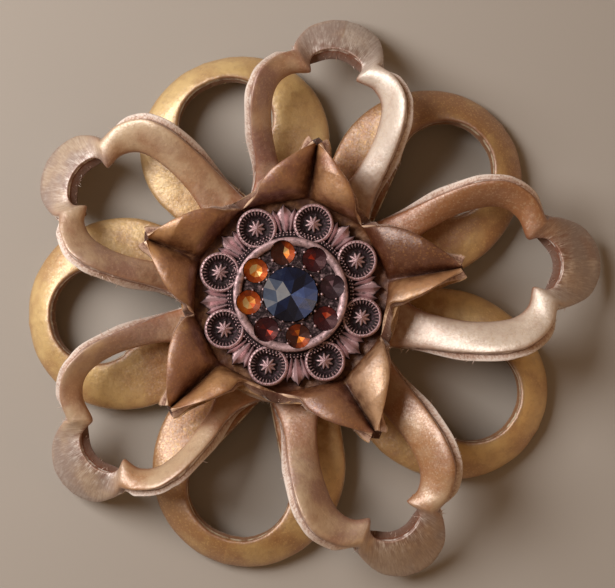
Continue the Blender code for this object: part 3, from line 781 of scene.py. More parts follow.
@dataclass(frozen=True)
class ToothRing:
    """Rings of small teeth, beads or bars about several centres, set out by Geometry Nodes."""

    name: str
    shape: ToothShape
    centres: list[Vector]
    radius: float
    count: int
    size: tuple[float, float, float]
    twist: float = 0.0
    tilt: float = 0.0
    jitter: float = 0.08
    seed: int = 7

    def tree(self, material: Material) -> NodeTree:
        """Builds the node tree.

        Args:
            material: the teeth's material.

        Returns:
            The tree, with named inputs for its sizes.
        """
        tree, node, given = new_tree(self.name, {
            "Ring Radius": "Float", "Count": "Int", "Tooth Size": "Vector", "Twist": "Float", "Tilt": "Float",
            "Jitter": "Float", "Seed": "Int"})
        if self.shape is ToothShape.BEAD:
            tooth = node(self.shape.value, {"Segments": 8, "Rings": 5, "Radius": 0.5})
        else:
            upright = node(self.shape.value, {"Vertices": 4, "Radius Top": 0.0, "Radius Bottom": 0.5,
                                              "Depth": 1.0})
            tooth = node("GeometryNodeTransform", {"Geometry": upright, "Rotation": (0, -math.pi / 2, 0)})
        shaped = node("GeometryNodeTransform", {"Geometry": tooth, "Scale": given["Tooth Size"]})
        lean = node("CombineXYZ", {1: given["Tilt"], 2: given["Twist"]})
        shaped = node("GeometryNodeTransform", {"Geometry": shaped, "Rotation": lean})
        ring = node("GeometryNodeMeshCircle", {"Vertices": given["Count"], "Radius": given["Ring Radius"]})
        share = node("Math", (node("GeometryNodeInputIndex"), given["Count"]), operation="DIVIDE")
        turn = node("CombineXYZ", {2: node("Math", (share, 2 * math.pi), operation="MULTIPLY")})
        low, high = (node("Math", (1.0, given["Jitter"]), operation=way) for way in ("SUBTRACT", "ADD"))
        spread = node("FunctionNodeRandomValue", {2: low, 3: high, "Seed": given["Seed"]}, out=1,
                      data_type="FLOAT")
        teeth = node("GeometryNodeInstanceOnPoints", {"Points": ring, "Instance": shaped, "Rotation": turn,
                                                      "Scale": spread})
        rings = node("GeometryNodeInstanceOnPoints", {"Points": given["Geometry"], "Instance": teeth})
        end_tree(node, rings, material, self.shape is ToothShape.BEAD)
        return tree

    def build(self, material: Material, relief: tuple[float, float]) -> Object:
        """Builds the teeth as one plain mesh.

        Args:
            material: the teeth's material.
            relief: the relief attribute at the teeth's lowest and highest point.

        Returns:
            The object.
        """
        points = bpy.data.meshes.new("tooth_centres")
        points.from_pydata([tuple(c) for c in self.centres], [], [])
        values = {"Ring Radius": self.radius, "Count": self.count, "Tooth Size": self.size,
                  "Twist": math.radians(self.twist), "Tilt": math.radians(self.tilt),
                  "Jitter": self.jitter, "Seed": self.seed}
        mesh = run_nodes(points, self.tree(material), values, self.name)
        z = np.array([vert.co.z for vert in mesh.vertices], dtype=np.float32)
        share = (z - z.min()) / max(float(z.max() - z.min()), 1e-9)
        write_values(mesh, "relief", relief[0] + (relief[1] - relief[0]) * share)
        return add_piece(self.name, mesh)


@dataclass(frozen=True)
class FibreFringe:
    """Loose fibres along raw cut edges, scattered by Geometry Nodes.

    A collagen fibre is under 0.05 mm wide; each is drawn a few times as wide, so that the fringe shows.
    """

    name: str
    per_mm2: float = 5.0
    length: float = 0.55 * MM
    width: float = 0.08 * MM
    lean: float = 38.0
    tuft_mm: float = 1.6
    seed: int = 11

    def tree(self, material: Material) -> NodeTree:
        """Builds the node tree.

        Args:
            material: the fibres' material.

        Returns:
            The tree, with named inputs for its sizes.
        """
        tree, node, given = new_tree(self.name, {
            "Density": "Float", "Fibre Length": "Float", "Fibre Width": "Float", "Lean": "Float",
            "Seed": "Int"})
        tuft = node("TexNoise", {"Scale": per_mm(self.tuft_mm), "Detail": 2.0})
        depth = node("GeometryNodeInputNamedAttribute", {"Name": "wall"}, data_type="FLOAT")
        thick = given["Density"]
        for values in ((tuft, 0.42, 0.62, 0.1, 1.0), (depth, 0.3, 0.85, 0.25, 1.0)):
            share = node("MapRange", values, interpolation_type="SMOOTHSTEP")
            thick = node("Math", (thick, share), operation="MULTIPLY")
        spots = node("GeometryNodeDistributePointsOnFaces", {
            "Mesh": given["Geometry"], "Density": thick, "Seed": given["Seed"]}, distribute_method="RANDOM")
        spike = node("GeometryNodeMeshCone", {
            "Vertices": 3, "Side Segments": 1, "Fill Segments": 1, "Radius Top": 0.0,
            "Radius Bottom": node("Math", (given["Fibre Width"], 0.5), operation="MULTIPLY"),
            "Depth": given["Fibre Length"]})
        lean = given["Lean"]
        back = node("Math", (lean, -1.0), operation="MULTIPLY")
        low, high = node("CombineXYZ", (back, back, -math.pi)), node("CombineXYZ", (lean, lean, math.pi))
        stray = node("FunctionNodeRandomValue", {0: low, 1: high, "Seed": given["Seed"]},
                     data_type="FLOAT_VECTOR")
        turn = node("FunctionNodeRotateRotation", (spots.node.outputs["Rotation"], stray),
                    rotation_space="LOCAL")
        grow = node("FunctionNodeRandomValue", {2: 0.45, 3: 1.5, "Seed": given["Seed"]}, out=1,
                    data_type="FLOAT")
        fibres = node("GeometryNodeInstanceOnPoints", {"Points": spots, "Instance": spike, "Rotation": turn,
                                                       "Scale": grow})
        end_tree(node, fibres, material, False)
        return tree

    def build(self, walls: Mesh, material: Material) -> Object:
        """Scatters the fibres over a mesh of the cut walls.

        Args:
            walls: the walls alone, which are used up.
            material: the fibres' material.

        Returns:
            The fringe.
        """
        values = {"Density": self.per_mm2 * 1e6, "Fibre Length": self.length, "Fibre Width": self.width,
                  "Lean": math.radians(self.lean), "Seed": self.seed}
        mesh = run_nodes(walls, self.tree(material), values, self.name)
        for vert in mesh.vertices:
            vert.co.z = max(vert.co.z, 0.0)
        return add_piece(self.name, mesh)


def point_normals(points: np.ndarray, faces: list[tuple[int, ...]]) -> np.ndarray:
    """Works out the normals at a sheet's points.

    Args:
        points: the sheet's points.
        faces: its faces, of three or four corners.

    Returns:
        One unit vector per point.
    """
    normals = np.zeros_like(points)
    for face in faces:
        a, b, c, *rest = points[list(face)]
        normals[list(face)] += np.cross(c - a, rest[0] - b) if rest else np.cross(b - a, c - a)
    return normals / np.linalg.norm(normals, axis=1)[:, None]


def rim_loops(faces: list[tuple[int, ...]]) -> list[list[int]]:
    """Follows the open edges of a sheet.

    Args:
        faces: the sheet's faces.

    Returns:
        The points of each loop of open edges, in order.
    """
    sides = {(face[i], face[(i + 1) % len(face)]) for face in faces for i in range(len(face))}
    following = {u: v for u, v in sides if (v, u) not in sides}
    left = set(following)
    loops = []
    while left:
        loop = [min(left)]
        while following[loop[-1]] != loop[0]:
            loop.append(following[loop[-1]])
        left.difference_update(loop)
        loops.append(loop)
    return loops


@dataclass(frozen=True)
class Petal:
    """One bent petal, with its sizes as shares of its layer's own; a pair is for its left and right half.

    A half's tint runs from 0, the paint's blush, to 1, its ground colour. Its pale value is painted light and
    shade: above 0 it adds to the light patches and whitens the half as a painted highlight, below 0 it browns
    the half as painted shade.
    """

    azimuth: float
    length: float = 1.0
    half_widths: tuple[float, float] = (1.0, 1.0)
    rises: tuple[float, float] = (1.0, 1.0)
    openings: tuple[float, float] = (1.0, 1.0)
    tints: tuple[float, float] = (0.5, 0.5)
    painted_lights: tuple[float, float] = (0.0, 0.0)


@dataclass(frozen=True)
class Half:
    """One half of a petal, with its sizes in metres; side is 1 on the left and -1 on the right."""

    azimuth: float
    side: int
    gap: float
    length: float
    width: float
    rise: float
    opening: float
    tint: float
    # Painted light and shade of the half: above 0 a painted highlight, below 0 painted shade
    pale: float


@dataclass
class LeatherLayer:
    """One layer of leather: petals cut from one sheet, bent, and pierced for the post.

    A pair of sizes is for the cut-out's edge and the outer edge.
    """

    name: str
    node: str
    slot: str
    petals: tuple[Petal, ...]
    top: float
    thickness: float
    length: float
    half_width: float
    rise: float
    opening: float
    paint: PearlLeather
    cut: RawCutEdge
    flesh: FleshSide
    fibre: LooseFibre
    fringe: FibreFringe
    place: Vector
    hub_radius: float
    concho_radius: float
    hole_radius: float
    rows: int = 110
    seed: float = 1.0
    edge_radius_mm: float = 0.38
    crown: float = 0.0010
    crown_power: float = 2.2
    wall_flare: float = 0.0003
    flare_by_slope: tuple[float, float] = (1.6, 2.2)
    flare_reach_mm: float = 1.2
    shoulders_mm: tuple[float, float] = (1.0, 1.0)
    shoulder_drops_mm: tuple[float, float] = (0.2, 0.2)
    wave: float = 0.00010
    cut_edges: tuple[bool, bool] = (True, True)
    # Places of the grid's points: millimetres from a cut edge, and shares of the width from a fold
    cut_steps_mm: tuple[float, ...] = (0.0, 0.07, 0.17, 0.32, 0.55, 0.95)
    fold_steps: tuple[float, ...] = (0.0, 0.04, 0.08)
    middle_steps: int = 9
    hub_rings: tuple[float, ...] = (0.006, 0.009, 0.012, 0.0145)
    root_rows: int = 5
    wall_levels: tuple[float, ...] = (0.12, 0.3, 0.5, 0.7, 0.88)

    @property
    def start(self) -> float:
        """Distance along a petal's axis of the line through the ends of its cuts."""
        return self.hub_radius * math.cos(math.pi / len(self.petals))

    def halves(self) -> list[Half]:
        """Lists the halves of all petals, with the angle from each to the cut beside it.

        Returns:
            The left and right half of each petal.
        """
        order = sorted(range(len(self.petals)), key=lambda i: self.petals[i].azimuth % 360)
        left, right = {}, {}
        for here, following in zip(order, order[1:] + order[:1]):
            step = (self.petals[following].azimuth - self.petals[here].azimuth) % 360
            left[here] = right[following] = math.radians(step / 2)
        return [Half(petal.azimuth, side, (left[i], right[i])[k], petal.length * self.length,
                     petal.half_widths[k] * self.half_width, petal.rises[k] * self.rise,
                     petal.openings[k] * self.opening, petal.tints[k], petal.painted_lights[k])
                for i, petal in enumerate(self.petals) for k, side in enumerate((1, -1))]

    def cut_end(self, half: Half, height: float) -> tuple[float, float, float]:
        """Gives the end of the cut beside a half petal, in the petal's own frame."""
        return self.hub_radius * math.cos(half.gap), self.hub_radius * math.sin(half.gap), height

    def edges(self, half: Half) -> tuple[np.ndarray, np.ndarray, np.ndarray]:
        """Gives the inner and outer edge of half a petal and each row's share of the way to the tip."""
        raise NotImplementedError

    def section(self, inner: np.ndarray, outer: np.ndarray, share: np.ndarray, row: int) -> np.ndarray:
        """Gives one row of points across the strap.

        Args:
            inner: the row's end on the inner edge.
            outer: the row's end on the outer edge.
            share: shares of the way across.
            row: the row's number from the hub.

        Returns:
            One point per share.
        """
        points = inner + (outer - inner) * share[:, None]
        fade = min(1.0, row / self.rows * 2.6) ** 2
        points[:, 2] += self.crown * fade * (1 - np.abs(2 * share - 1) ** self.crown_power)
        return points

    def shades(self, along: float, share: np.ndarray) -> tuple[np.ndarray, np.ndarray]:
        """Gives the paint's tone, which is plain, and its painted shade, strongest by the hub under the layers
        above, over one row.
        """
        return np.zeros_like(share), np.full_like(share, max(0.0, 0.85 - along * 3.2))

    def shares(self, width_mm: float) -> np.ndarray:
        """Gives the shares across a strap at which its points lie, closer together beside a cut edge.

        Args:
            width_mm: the strap's width in this row.

        Returns:
            Shares from 0 to 1.
        """
        steps = np.array(self.cut_steps_mm)
        steps = steps * min(1.0, 0.35 * width_mm / steps[-1]) / width_mm
        first, last = (steps if cut else np.array(self.fold_steps) for cut in self.cut_edges)
        middle = np.linspace(first[-1], 1 - last[-1], self.middle_steps)[1:-1]
        return np.concatenate([first, middle, 1 - last[::-1]])

    def strap(self, half: Half) -> dict[str, np.ndarray]:
        """Builds the grid of half a petal in the petal's own frame.

        Args:
            half: the half petal.

        Returns:
            The grid's points, and what the finish needs to know at each of them, by name.
        """
        inner, outer, along = self.edges(half)
        rows = []
        length = 0.0
        for number, (low, high) in enumerate(zip(inner, outer)):
            width_mm = float(np.linalg.norm(high - low)) / MM
            share = self.shares(width_mm)
            points = self.section(low, high, share, number)
            if rows:
                length += float(np.linalg.norm(points - rows[-1]["points"], axis=1).mean()) / MM
            reaches = (share * width_mm if self.cut_edges[0] else np.full_like(share, FAR_MM),
                       (1 - share) * width_mm if self.cut_edges[1] else np.full_like(share, FAR_MM))
            tone, painted_shade = self.shades(float(along[number]), share)
            way = (high - low) / np.linalg.norm(high - low)
            level = way * (1, 1, 0)
            outward = (share > 0.5).astype(float)
            flare = (clamp(-self.flare_by_slope[0] * way[2]), clamp(self.flare_by_slope[1] * way[2]))
            rows.append({
                "points": points, "edge_mm": np.minimum(*reaches), "tone": tone, "painted_shade": painted_shade,
                "run_mm": np.full_like(share, length), "across_mm": share * width_mm, "outer": outward,
                "spread": np.where(outward[:, None] > 0, level * flare[1], -level * flare[0])})
        return {key: np.array([row[key] for row in rows]) for key in rows[0]}

    def sheet(self) -> tuple[np.ndarray, np.ndarray, dict[str, np.ndarray]]:
        """Joins all petals and the hub into one sheet.

        Returns:
            The points, the faces and the attributes of the sheet's upper face.
        """
        parts, faces, roots = [], [], []
        count = 0
        for half in self.halves():
            strap = self.strap(half)
            rows, cells = strap["edge_mm"].shape
            angle = math.radians(half.azimuth)
            turn = np.array([[math.cos(angle), math.sin(angle), 0], [-math.sin(angle), math.cos(angle), 0],
                             [0, 0, 1]])
            for key in ("points", "spread"):
                strap[key] = (strap[key] * (1, half.side, 1)).reshape(-1, 3) @ turn
            fade = np.minimum(1.0, np.arange(rows) / self.root_rows)[:, None] * np.ones(cells)
            # pale carries each half's painted highlight or painted shade, faded in from the hub
            strap.update(fade=fade, tint=half.tint + 0 * fade, pale=half.pale * fade)
            parts.append({key: numbers.reshape(rows * cells, -1) for key, numbers in strap.items()})
            index = np.arange(rows * cells).reshape(rows, cells) + count
            quads = np.stack([index[:-1, :-1], index[1:, :-1], index[1:, 1:], index[:-1, 1:]], axis=-1)
            faces.append(quads.reshape(-1, 4)[:, ::half.side])
            roots.append(strap["points"][:cells])
            count += rows * cells
        rim = np.vstack(roots)
        rim = rim[np.unique(np.round(rim / MERGE).astype(np.int64), axis=0, return_index=True)[1]]
        rim = rim[np.argsort(np.arctan2(rim[:, 1], rim[:, 0]))]
        flat = rim[:, :2] / np.hypot(rim[:, 0], rim[:, 1])[:, None]
        size = len(rim)
        rings = [np.column_stack([flat * radius, np.full(size, self.top)])
                 for radius in (self.hole_radius, *self.hub_rings, self.concho_radius + CONTACT_GAP)] + [rim]
        # The hub ring round the concho is painted dark, as the shade under the concho
        plain = {"edge_mm": FAR_MM, "tone": 0, "painted_shade": 0.9, "run_mm": 0, "across_mm": 5, "outer": 0,
                 "spread": (0, 0, 0), "fade": 0, "tint": 0.5, "pale": 0}
        for ring in rings:
            parts.append({"points": ring, **{key: np.tile(np.atleast_2d(value).astype(float), (size, 1))
                                             for key, value in plain.items()}})
        parts[-len(rings)]["edge_mm"][:] = 0.0
        index = np.arange(size * len(rings)).reshape(len(rings), size) + count
        after = np.roll(index, -1, axis=1)
        faces.append(np.stack([index[:-1], index[1:], after[1:], after[:-1]], axis=-1).reshape(-1, 4))
        values = {key: np.vstack([part[key] for part in parts]) for key in parts[0]}
        points = values.pop("points")
        keys = np.round(points / MERGE).astype(np.int64)
        _, first, same = np.unique(keys, axis=0, return_index=True, return_inverse=True)
        return points[first], same.ravel()[np.vstack(faces)], {
            key: numbers[first].squeeze() for key, numbers in values.items()}

    def rounding(self, values: dict[str, np.ndarray]) -> np.ndarray:
        """Gives how far the face drops at each point: a tight curve at the cut and a soft shoulder before it.

        Args:
            values: the sheet's attributes.

        Returns:
            One drop per point in metres.
        """
        radius, edge, outer = self.edge_radius_mm, values["edge_mm"], values["outer"]
        near = np.clip(radius - edge, 0, radius)
        tight = (radius - np.sqrt(np.maximum(radius ** 2 - near ** 2, 0))) * 0.85
        reach, fall = (inner + (outside - inner) * outer
                       for inner, outside in (self.shoulders_mm, self.shoulder_drops_mm))
        close = np.clip(1 - edge / reach, 0, 1)
        soft = fall * (1 - np.sqrt(1 - close ** 2))
        return (tight + soft) * MM * values["fade"]

    def make_sheet_solid(self, materials: list[Material]) -> tuple[Mesh, Mesh]:
        """Gives the sheet its thickness, its rounded edges and its raw cut walls.

        Args:
            materials: paint, cut wall and flesh side.

        Returns:
            The layer's mesh, and a mesh of its cut walls alone.
        """
        points, quads, values = self.sheet()
        good = [face for face in (tuple(dict.fromkeys(quad)) for quad in quads.tolist()) if len(face) > 2]
        normals = point_normals(points, good)
        drift = (wobble(points, 5.5 * MM, self.seed) * self.wave
                 + wobble(points, 1.7 * MM, self.seed + 3) * self.wave * 0.45) * values["fade"]
        base = points + normals * drift[:, None]
        drop = self.rounding(values)
        beside = np.clip(1 - values["edge_mm"] / self.flare_reach_mm, 0, 1) * values["fade"]
        flare = values["spread"] * (beside * self.wall_flare)[:, None] * 0.6
        upper = base - normals * drop[:, None] - flare
        lower = base - normals * (self.thickness - 0.35 * drop)[:, None] + flare

        count = len(points)
        solid = [upper, lower]
        faces = list(good) + [tuple(count + i for i in reversed(face)) for face in good]
        kinds = [0] * len(good) + [2] * len(good)
        around = {key: [values[key], values[key]] for key in ("tone", "painted_shade", "outer", "run_mm")}
        around["wall"] = [np.zeros(count), np.ones(count)]
        total = 2 * count
        wall_start = len(faces)
        for loop in rim_loops(good):
            ids = np.array(loop)
            here = upper[ids]
            out = np.cross(np.roll(here, -1, axis=0) - np.roll(here, 1, axis=0), normals[ids])
            out /= np.linalg.norm(out, axis=1)[:, None] + 1e-12
            run = np.concatenate([[0.0], np.cumsum(np.linalg.norm(np.diff(here, axis=0), axis=1))]) / MM
            rings = [ids]
            for level in self.wall_levels:
                coarse, fine = (
                    np.array([noise.noise(Vector((r / size, level * stretch, seed))) for r in run])
                    for size, stretch, seed in ((0.9, 2, self.seed * 7), (0.33, 3, self.seed * 5 + 9)))
                bulge = 0.05 * math.sin(math.pi * level) + 0.06 * coarse + 0.045 * fine
                middle = here + (lower[ids] - here) * level
                solid.append(middle + out * (bulge * MM * values["fade"][ids])[:, None])
                for key in ("tone", "painted_shade", "outer"):
                    around[key].append(values[key][ids])
                around["run_mm"].append(run)
                around["wall"].append(np.full(len(ids), level))
                rings.append(np.arange(total, total + len(ids)))
                total += len(ids)
            rings.append(ids + count)
            for above, below in zip(rings, rings[1:]):
                corners = (np.roll(above, -1), above, below, np.roll(below, -1))
                faces.extend(zip(*(corner.tolist() for corner in corners)))
                kinds.extend([1] * len(ids))
        attributes = {key: np.concatenate([values[key], np.zeros(total - count)])
                      for key in ("edge_mm", "across_mm", "tint", "pale")}
        attributes.update({key: np.concatenate(numbers) for key, numbers in around.items()})
        points = np.vstack(solid) + np.array(self.place)
        points[:, 2] = np.maximum(points[:, 2], 0.0)
        mesh = mesh_from(self.name, points, faces, materials, np.array(kinds), attributes)
        used = sorted({i for face in faces[wall_start:] for i in face})
        renumber = {old: new for new, old in enumerate(used)}
        wall_faces = [[renumber[i] for i in face] for face in faces[wall_start:]]
        walls = mesh_from("walls", points[used], wall_faces, [], values={"wall": attributes["wall"][used]})
        return mesh, walls

    def build(self) -> None:
        """Builds and dresses the layer and the fringe of fibres along its cut edges."""
        mesh, walls = self.make_sheet_solid([self.paint.make(), self.cut.make(), self.flesh.make()])
        settle(add_piece(self.name, mesh), self.slot, self.node)
        settle(self.fringe.build(walls, self.fibre.make()), self.slot)


@dataclass
class BackLayer(LeatherLayer):
    """The back layer: round petals with a drop-shaped cut-out, bent down to the surface at their tips."""

    drop: float = 0.0041
    drop_power: float = 1.3
    opening_rise: float = 0.0016
    outer_centre: float = 0.48
    outer_start: float = 120
    hole_centre: float = 0.60
    hole_radius_share: float = 0.25
    hole_start: float = 135
    arc_points: int = 8
    set_back: float = 0.0007

    def edges(self, half: Half) -> tuple[np.ndarray, np.ndarray, np.ndarray]:
        """Gives the edges of half a round petal.

        Args:
            half: the half petal.

        Returns:
            The cut-out's edge, the outer edge and each row's share of the way to the tip.
        """
        reach = self.hub_radius + half.length - self.start
        outer = [self.cut_end(half, self.top)]
        for angle in np.radians(np.linspace(self.outer_start, 0, self.arc_points)):
            along = self.outer_centre + (1 - self.outer_centre) * math.cos(angle)
            height = self.top - self.drop * along ** self.drop_power
            outer.append((self.start + along * reach, half.width * math.sin(angle), height))
        inner = [(self.hub_radius - self.set_back, 0, self.top)]
        for angle in np.radians(np.linspace(self.hole_start, 0, self.arc_points)):
            along = self.hole_centre + self.hole_radius_share * math.cos(angle)
            height = self.top + self.opening_rise * along ** 2
            inner.append((self.start + along * reach, half.opening * math.sin(angle), height))
        places = np.linspace(0, self.arc_points, self.rows + 1)
        return catmull_rom(inner, places), catmull_rom(outer, places), places / self.arc_points


@dataclass
class MiddleLayer(LeatherLayer):
    """The middle layer: petals with two side lobes curled up, an end lobe bent down and a trefoil cut-out.

    Each point of the pattern gives its shares of the petal's length, half width and lift.
    """

    opening_rise: float = 0.0025
    tip_drop: float = 0.0058
    end_lobe: float = 0.0072
    end_share: float = 0.3
    set_back: float = 0.0007
    before_notch: int = 9
    after_notch: int = 5
    outer_side: tuple = ((0.13, 0.80, 0.12), (0.30, 0.94, 0.54), (0.47, 1.00, 0.94), (0.62, 0.98, 0.95),
                         (0.735, 0.80, 0.65))
    notch: tuple = (0.785, 1.03, 0.40)
    outer_end: tuple = ((0.845, 1.06, 0.35), (0.93, 0.86, 0.80), (0.985, 0.42, 0.97), (1.0, 0.0, 1.0))
    inner_side: tuple = ((0.15, 0.50, 0.18), (0.26, 0.78, 0.45), (0.42, 1.00, 0.75), (0.555, 1.02, 0.90),
                         (0.63, 0.80, 0.95), (0.66, 0.43, 1.0))
    inner_end: tuple = ((0.71, 0.54, 1.0), (0.755, 0.48, 1.0), (0.785, 0.26, 1.0), (0.795, 0.0, 1.0))

    def edges(self, half: Half) -> tuple[np.ndarray, np.ndarray, np.ndarray]:
        """Gives the edges of half a lobed petal.

        Args:
            half: the half petal.

        Returns:
            The cut-out's edge, the outer edge and each row's share of the way to the tip.
        """
        reach = self.hub_radius + half.length - self.start
        notch_height = self.top + self.notch[2] * half.rise

        def placed(pattern: tuple, width: float, low: float, high: float) -> list[tuple[float, float, float]]:
            """Places points of the pattern between two heights."""
            return [(self.start + x * reach, y * width, low + (high - low) * lift) for x, y, lift in pattern]

        notch = placed((self.notch,), self.end_lobe, self.top, self.top + half.rise)
        outer_side = [self.cut_end(half, self.top),
                      *placed(self.outer_side, half.width, self.top, self.top + half.rise), *notch]
        outer_end = notch + placed(self.outer_end, self.end_lobe, notch_height, self.top - self.tip_drop)
        open_top = self.top + self.opening_rise
        inner = [(self.hub_radius - self.set_back, 0, self.top),
                 *placed(self.inner_side, half.opening, self.top, open_top),
                 *placed(self.inner_end, self.end_lobe, self.top, open_top)]
        split = self.rows * self.before_notch // (self.before_notch + self.after_notch)
        before = np.linspace(0, len(outer_side) - 1, split + 1)
        after = np.linspace(0, len(outer_end) - 1, self.rows - split + 1)[1:]
        outer = np.vstack([catmull_rom(outer_side, before), catmull_rom(outer_end, after)])
        # The cusp is rounded, so one curve runs through it; the notch in the outer edge stays a sharp corner
        inner = catmull_rom(inner, np.concatenate([before, before[-1] + after]))
        side_share = 1 - self.end_share
        along = np.concatenate([before / before[-1] * side_share,
                                side_share + after / after[-1] * self.end_share])
        return inner, outer, along

    def shades(self, along: float, share: np.ndarray) -> tuple[np.ndarray, np.ndarray]:
        """Gives the tone, dusky on the end lobe, and the painted shade, which is strongest by the hub under
        the layers above.
        """
        tone = np.full_like(share, 0.9 * clamp((along - 0.66) / 0.16))
        return tone, np.full_like(share, max(0.0, 0.75 - along * 2.6))


@dataclass
class InnerLayer(LeatherLayer):
    """The inner layer: short pointed petals folded along a gouged keel, with raised rims."""

    root_lift: float = 0.0010
    keel_rise: float = 0.0024
    keel_power: float = 0.6
    gouge: float = 0.0008
    gouge_share: float = 0.10
    swell_power: float = 0.58
    swell_width: float = 0.008
    rim: tuple = ((0.13, 1.00, 0.58), (0.32, 0.95, 0.84), (0.50, 0.83, 0.95), (0.66, 0.64, 1.00),
                  (0.80, 0.44, 0.95), (0.92, 0.25, 0.85), (1.00, 0.06, 0.75))

    def edges(self, half: Half) -> tuple[np.ndarray, np.ndarray, np.ndarray]:
        """Gives the edges of half a pointed petal.

        Args:
            half: the half petal.

        Returns:
            The keel, the rim and each row's share of the way to the tip.
        """
        reach = self.hub_radius + half.length - self.start
        rim = [self.cut_end(half, self.top + self.root_lift)]
        keel = [(self.hub_radius, 0, self.top)]
        for along, across, lift in self.rim:
            rim.append((self.start + along * reach, across * half.width, self.top + lift * half.rise))
            keel.append((self.hub_radius + along * half.length, 0,
                         self.top + self.keel_rise * along ** self.keel_power))
        places = np.linspace(0, len(self.rim), self.rows + 1)
        return catmull_rom(keel, places), catmull_rom(rim, places), places / len(self.rim)

    def section(self, inner: np.ndarray, outer: np.ndarray, share: np.ndarray, row: int) -> np.ndarray:
        """Gives one row of points from the gouged keel up the swelling half to the rim.

        Args:
            inner: the row's end on the keel.
            outer: the row's end on the rim.
            share: shares of the way across.
            row: the row's number from the hub.

        Returns:
            One point per share.
        """
        points = inner + (outer - inner) * share[:, None]
        points[:, 2] = inner[2] + (outer[2] - inner[2]) * share ** self.swell_power
        if row == 0:
            points[:, :2] *= (self.hub_radius / np.hypot(points[:, 0], points[:, 1]))[:, None]
        fade = min(1.0, row / self.rows * 2.3)
        points[:, 2] -= self.gouge * fade * np.clip(1 - share / self.gouge_share, 0, 1) ** 1.5
        width = float(np.linalg.norm(outer - inner))
        swell = self.crown * min(1.0, row / self.rows * 6) * min(1.0, (width / self.swell_width) ** 2)
        points[:, 2] += swell * (1 - np.abs(2 * share - 1) ** self.crown_power)
        return points

    def shades(self, along: float, share: np.ndarray) -> tuple[np.ndarray, np.ndarray]:
        """Gives the tone of the raw lines beside the keel, and painted shade, strongest in the keel's crease
        and by the hub, that fades towards the rim.
        """
        tone = np.clip(1 - np.abs(share - 0.045) / 0.03, 0, 1) * 0.7
        return tone, np.maximum(np.clip(1.0 - share * 2.4, 0, 1), max(0.0, 1.0 - along * 3.2))


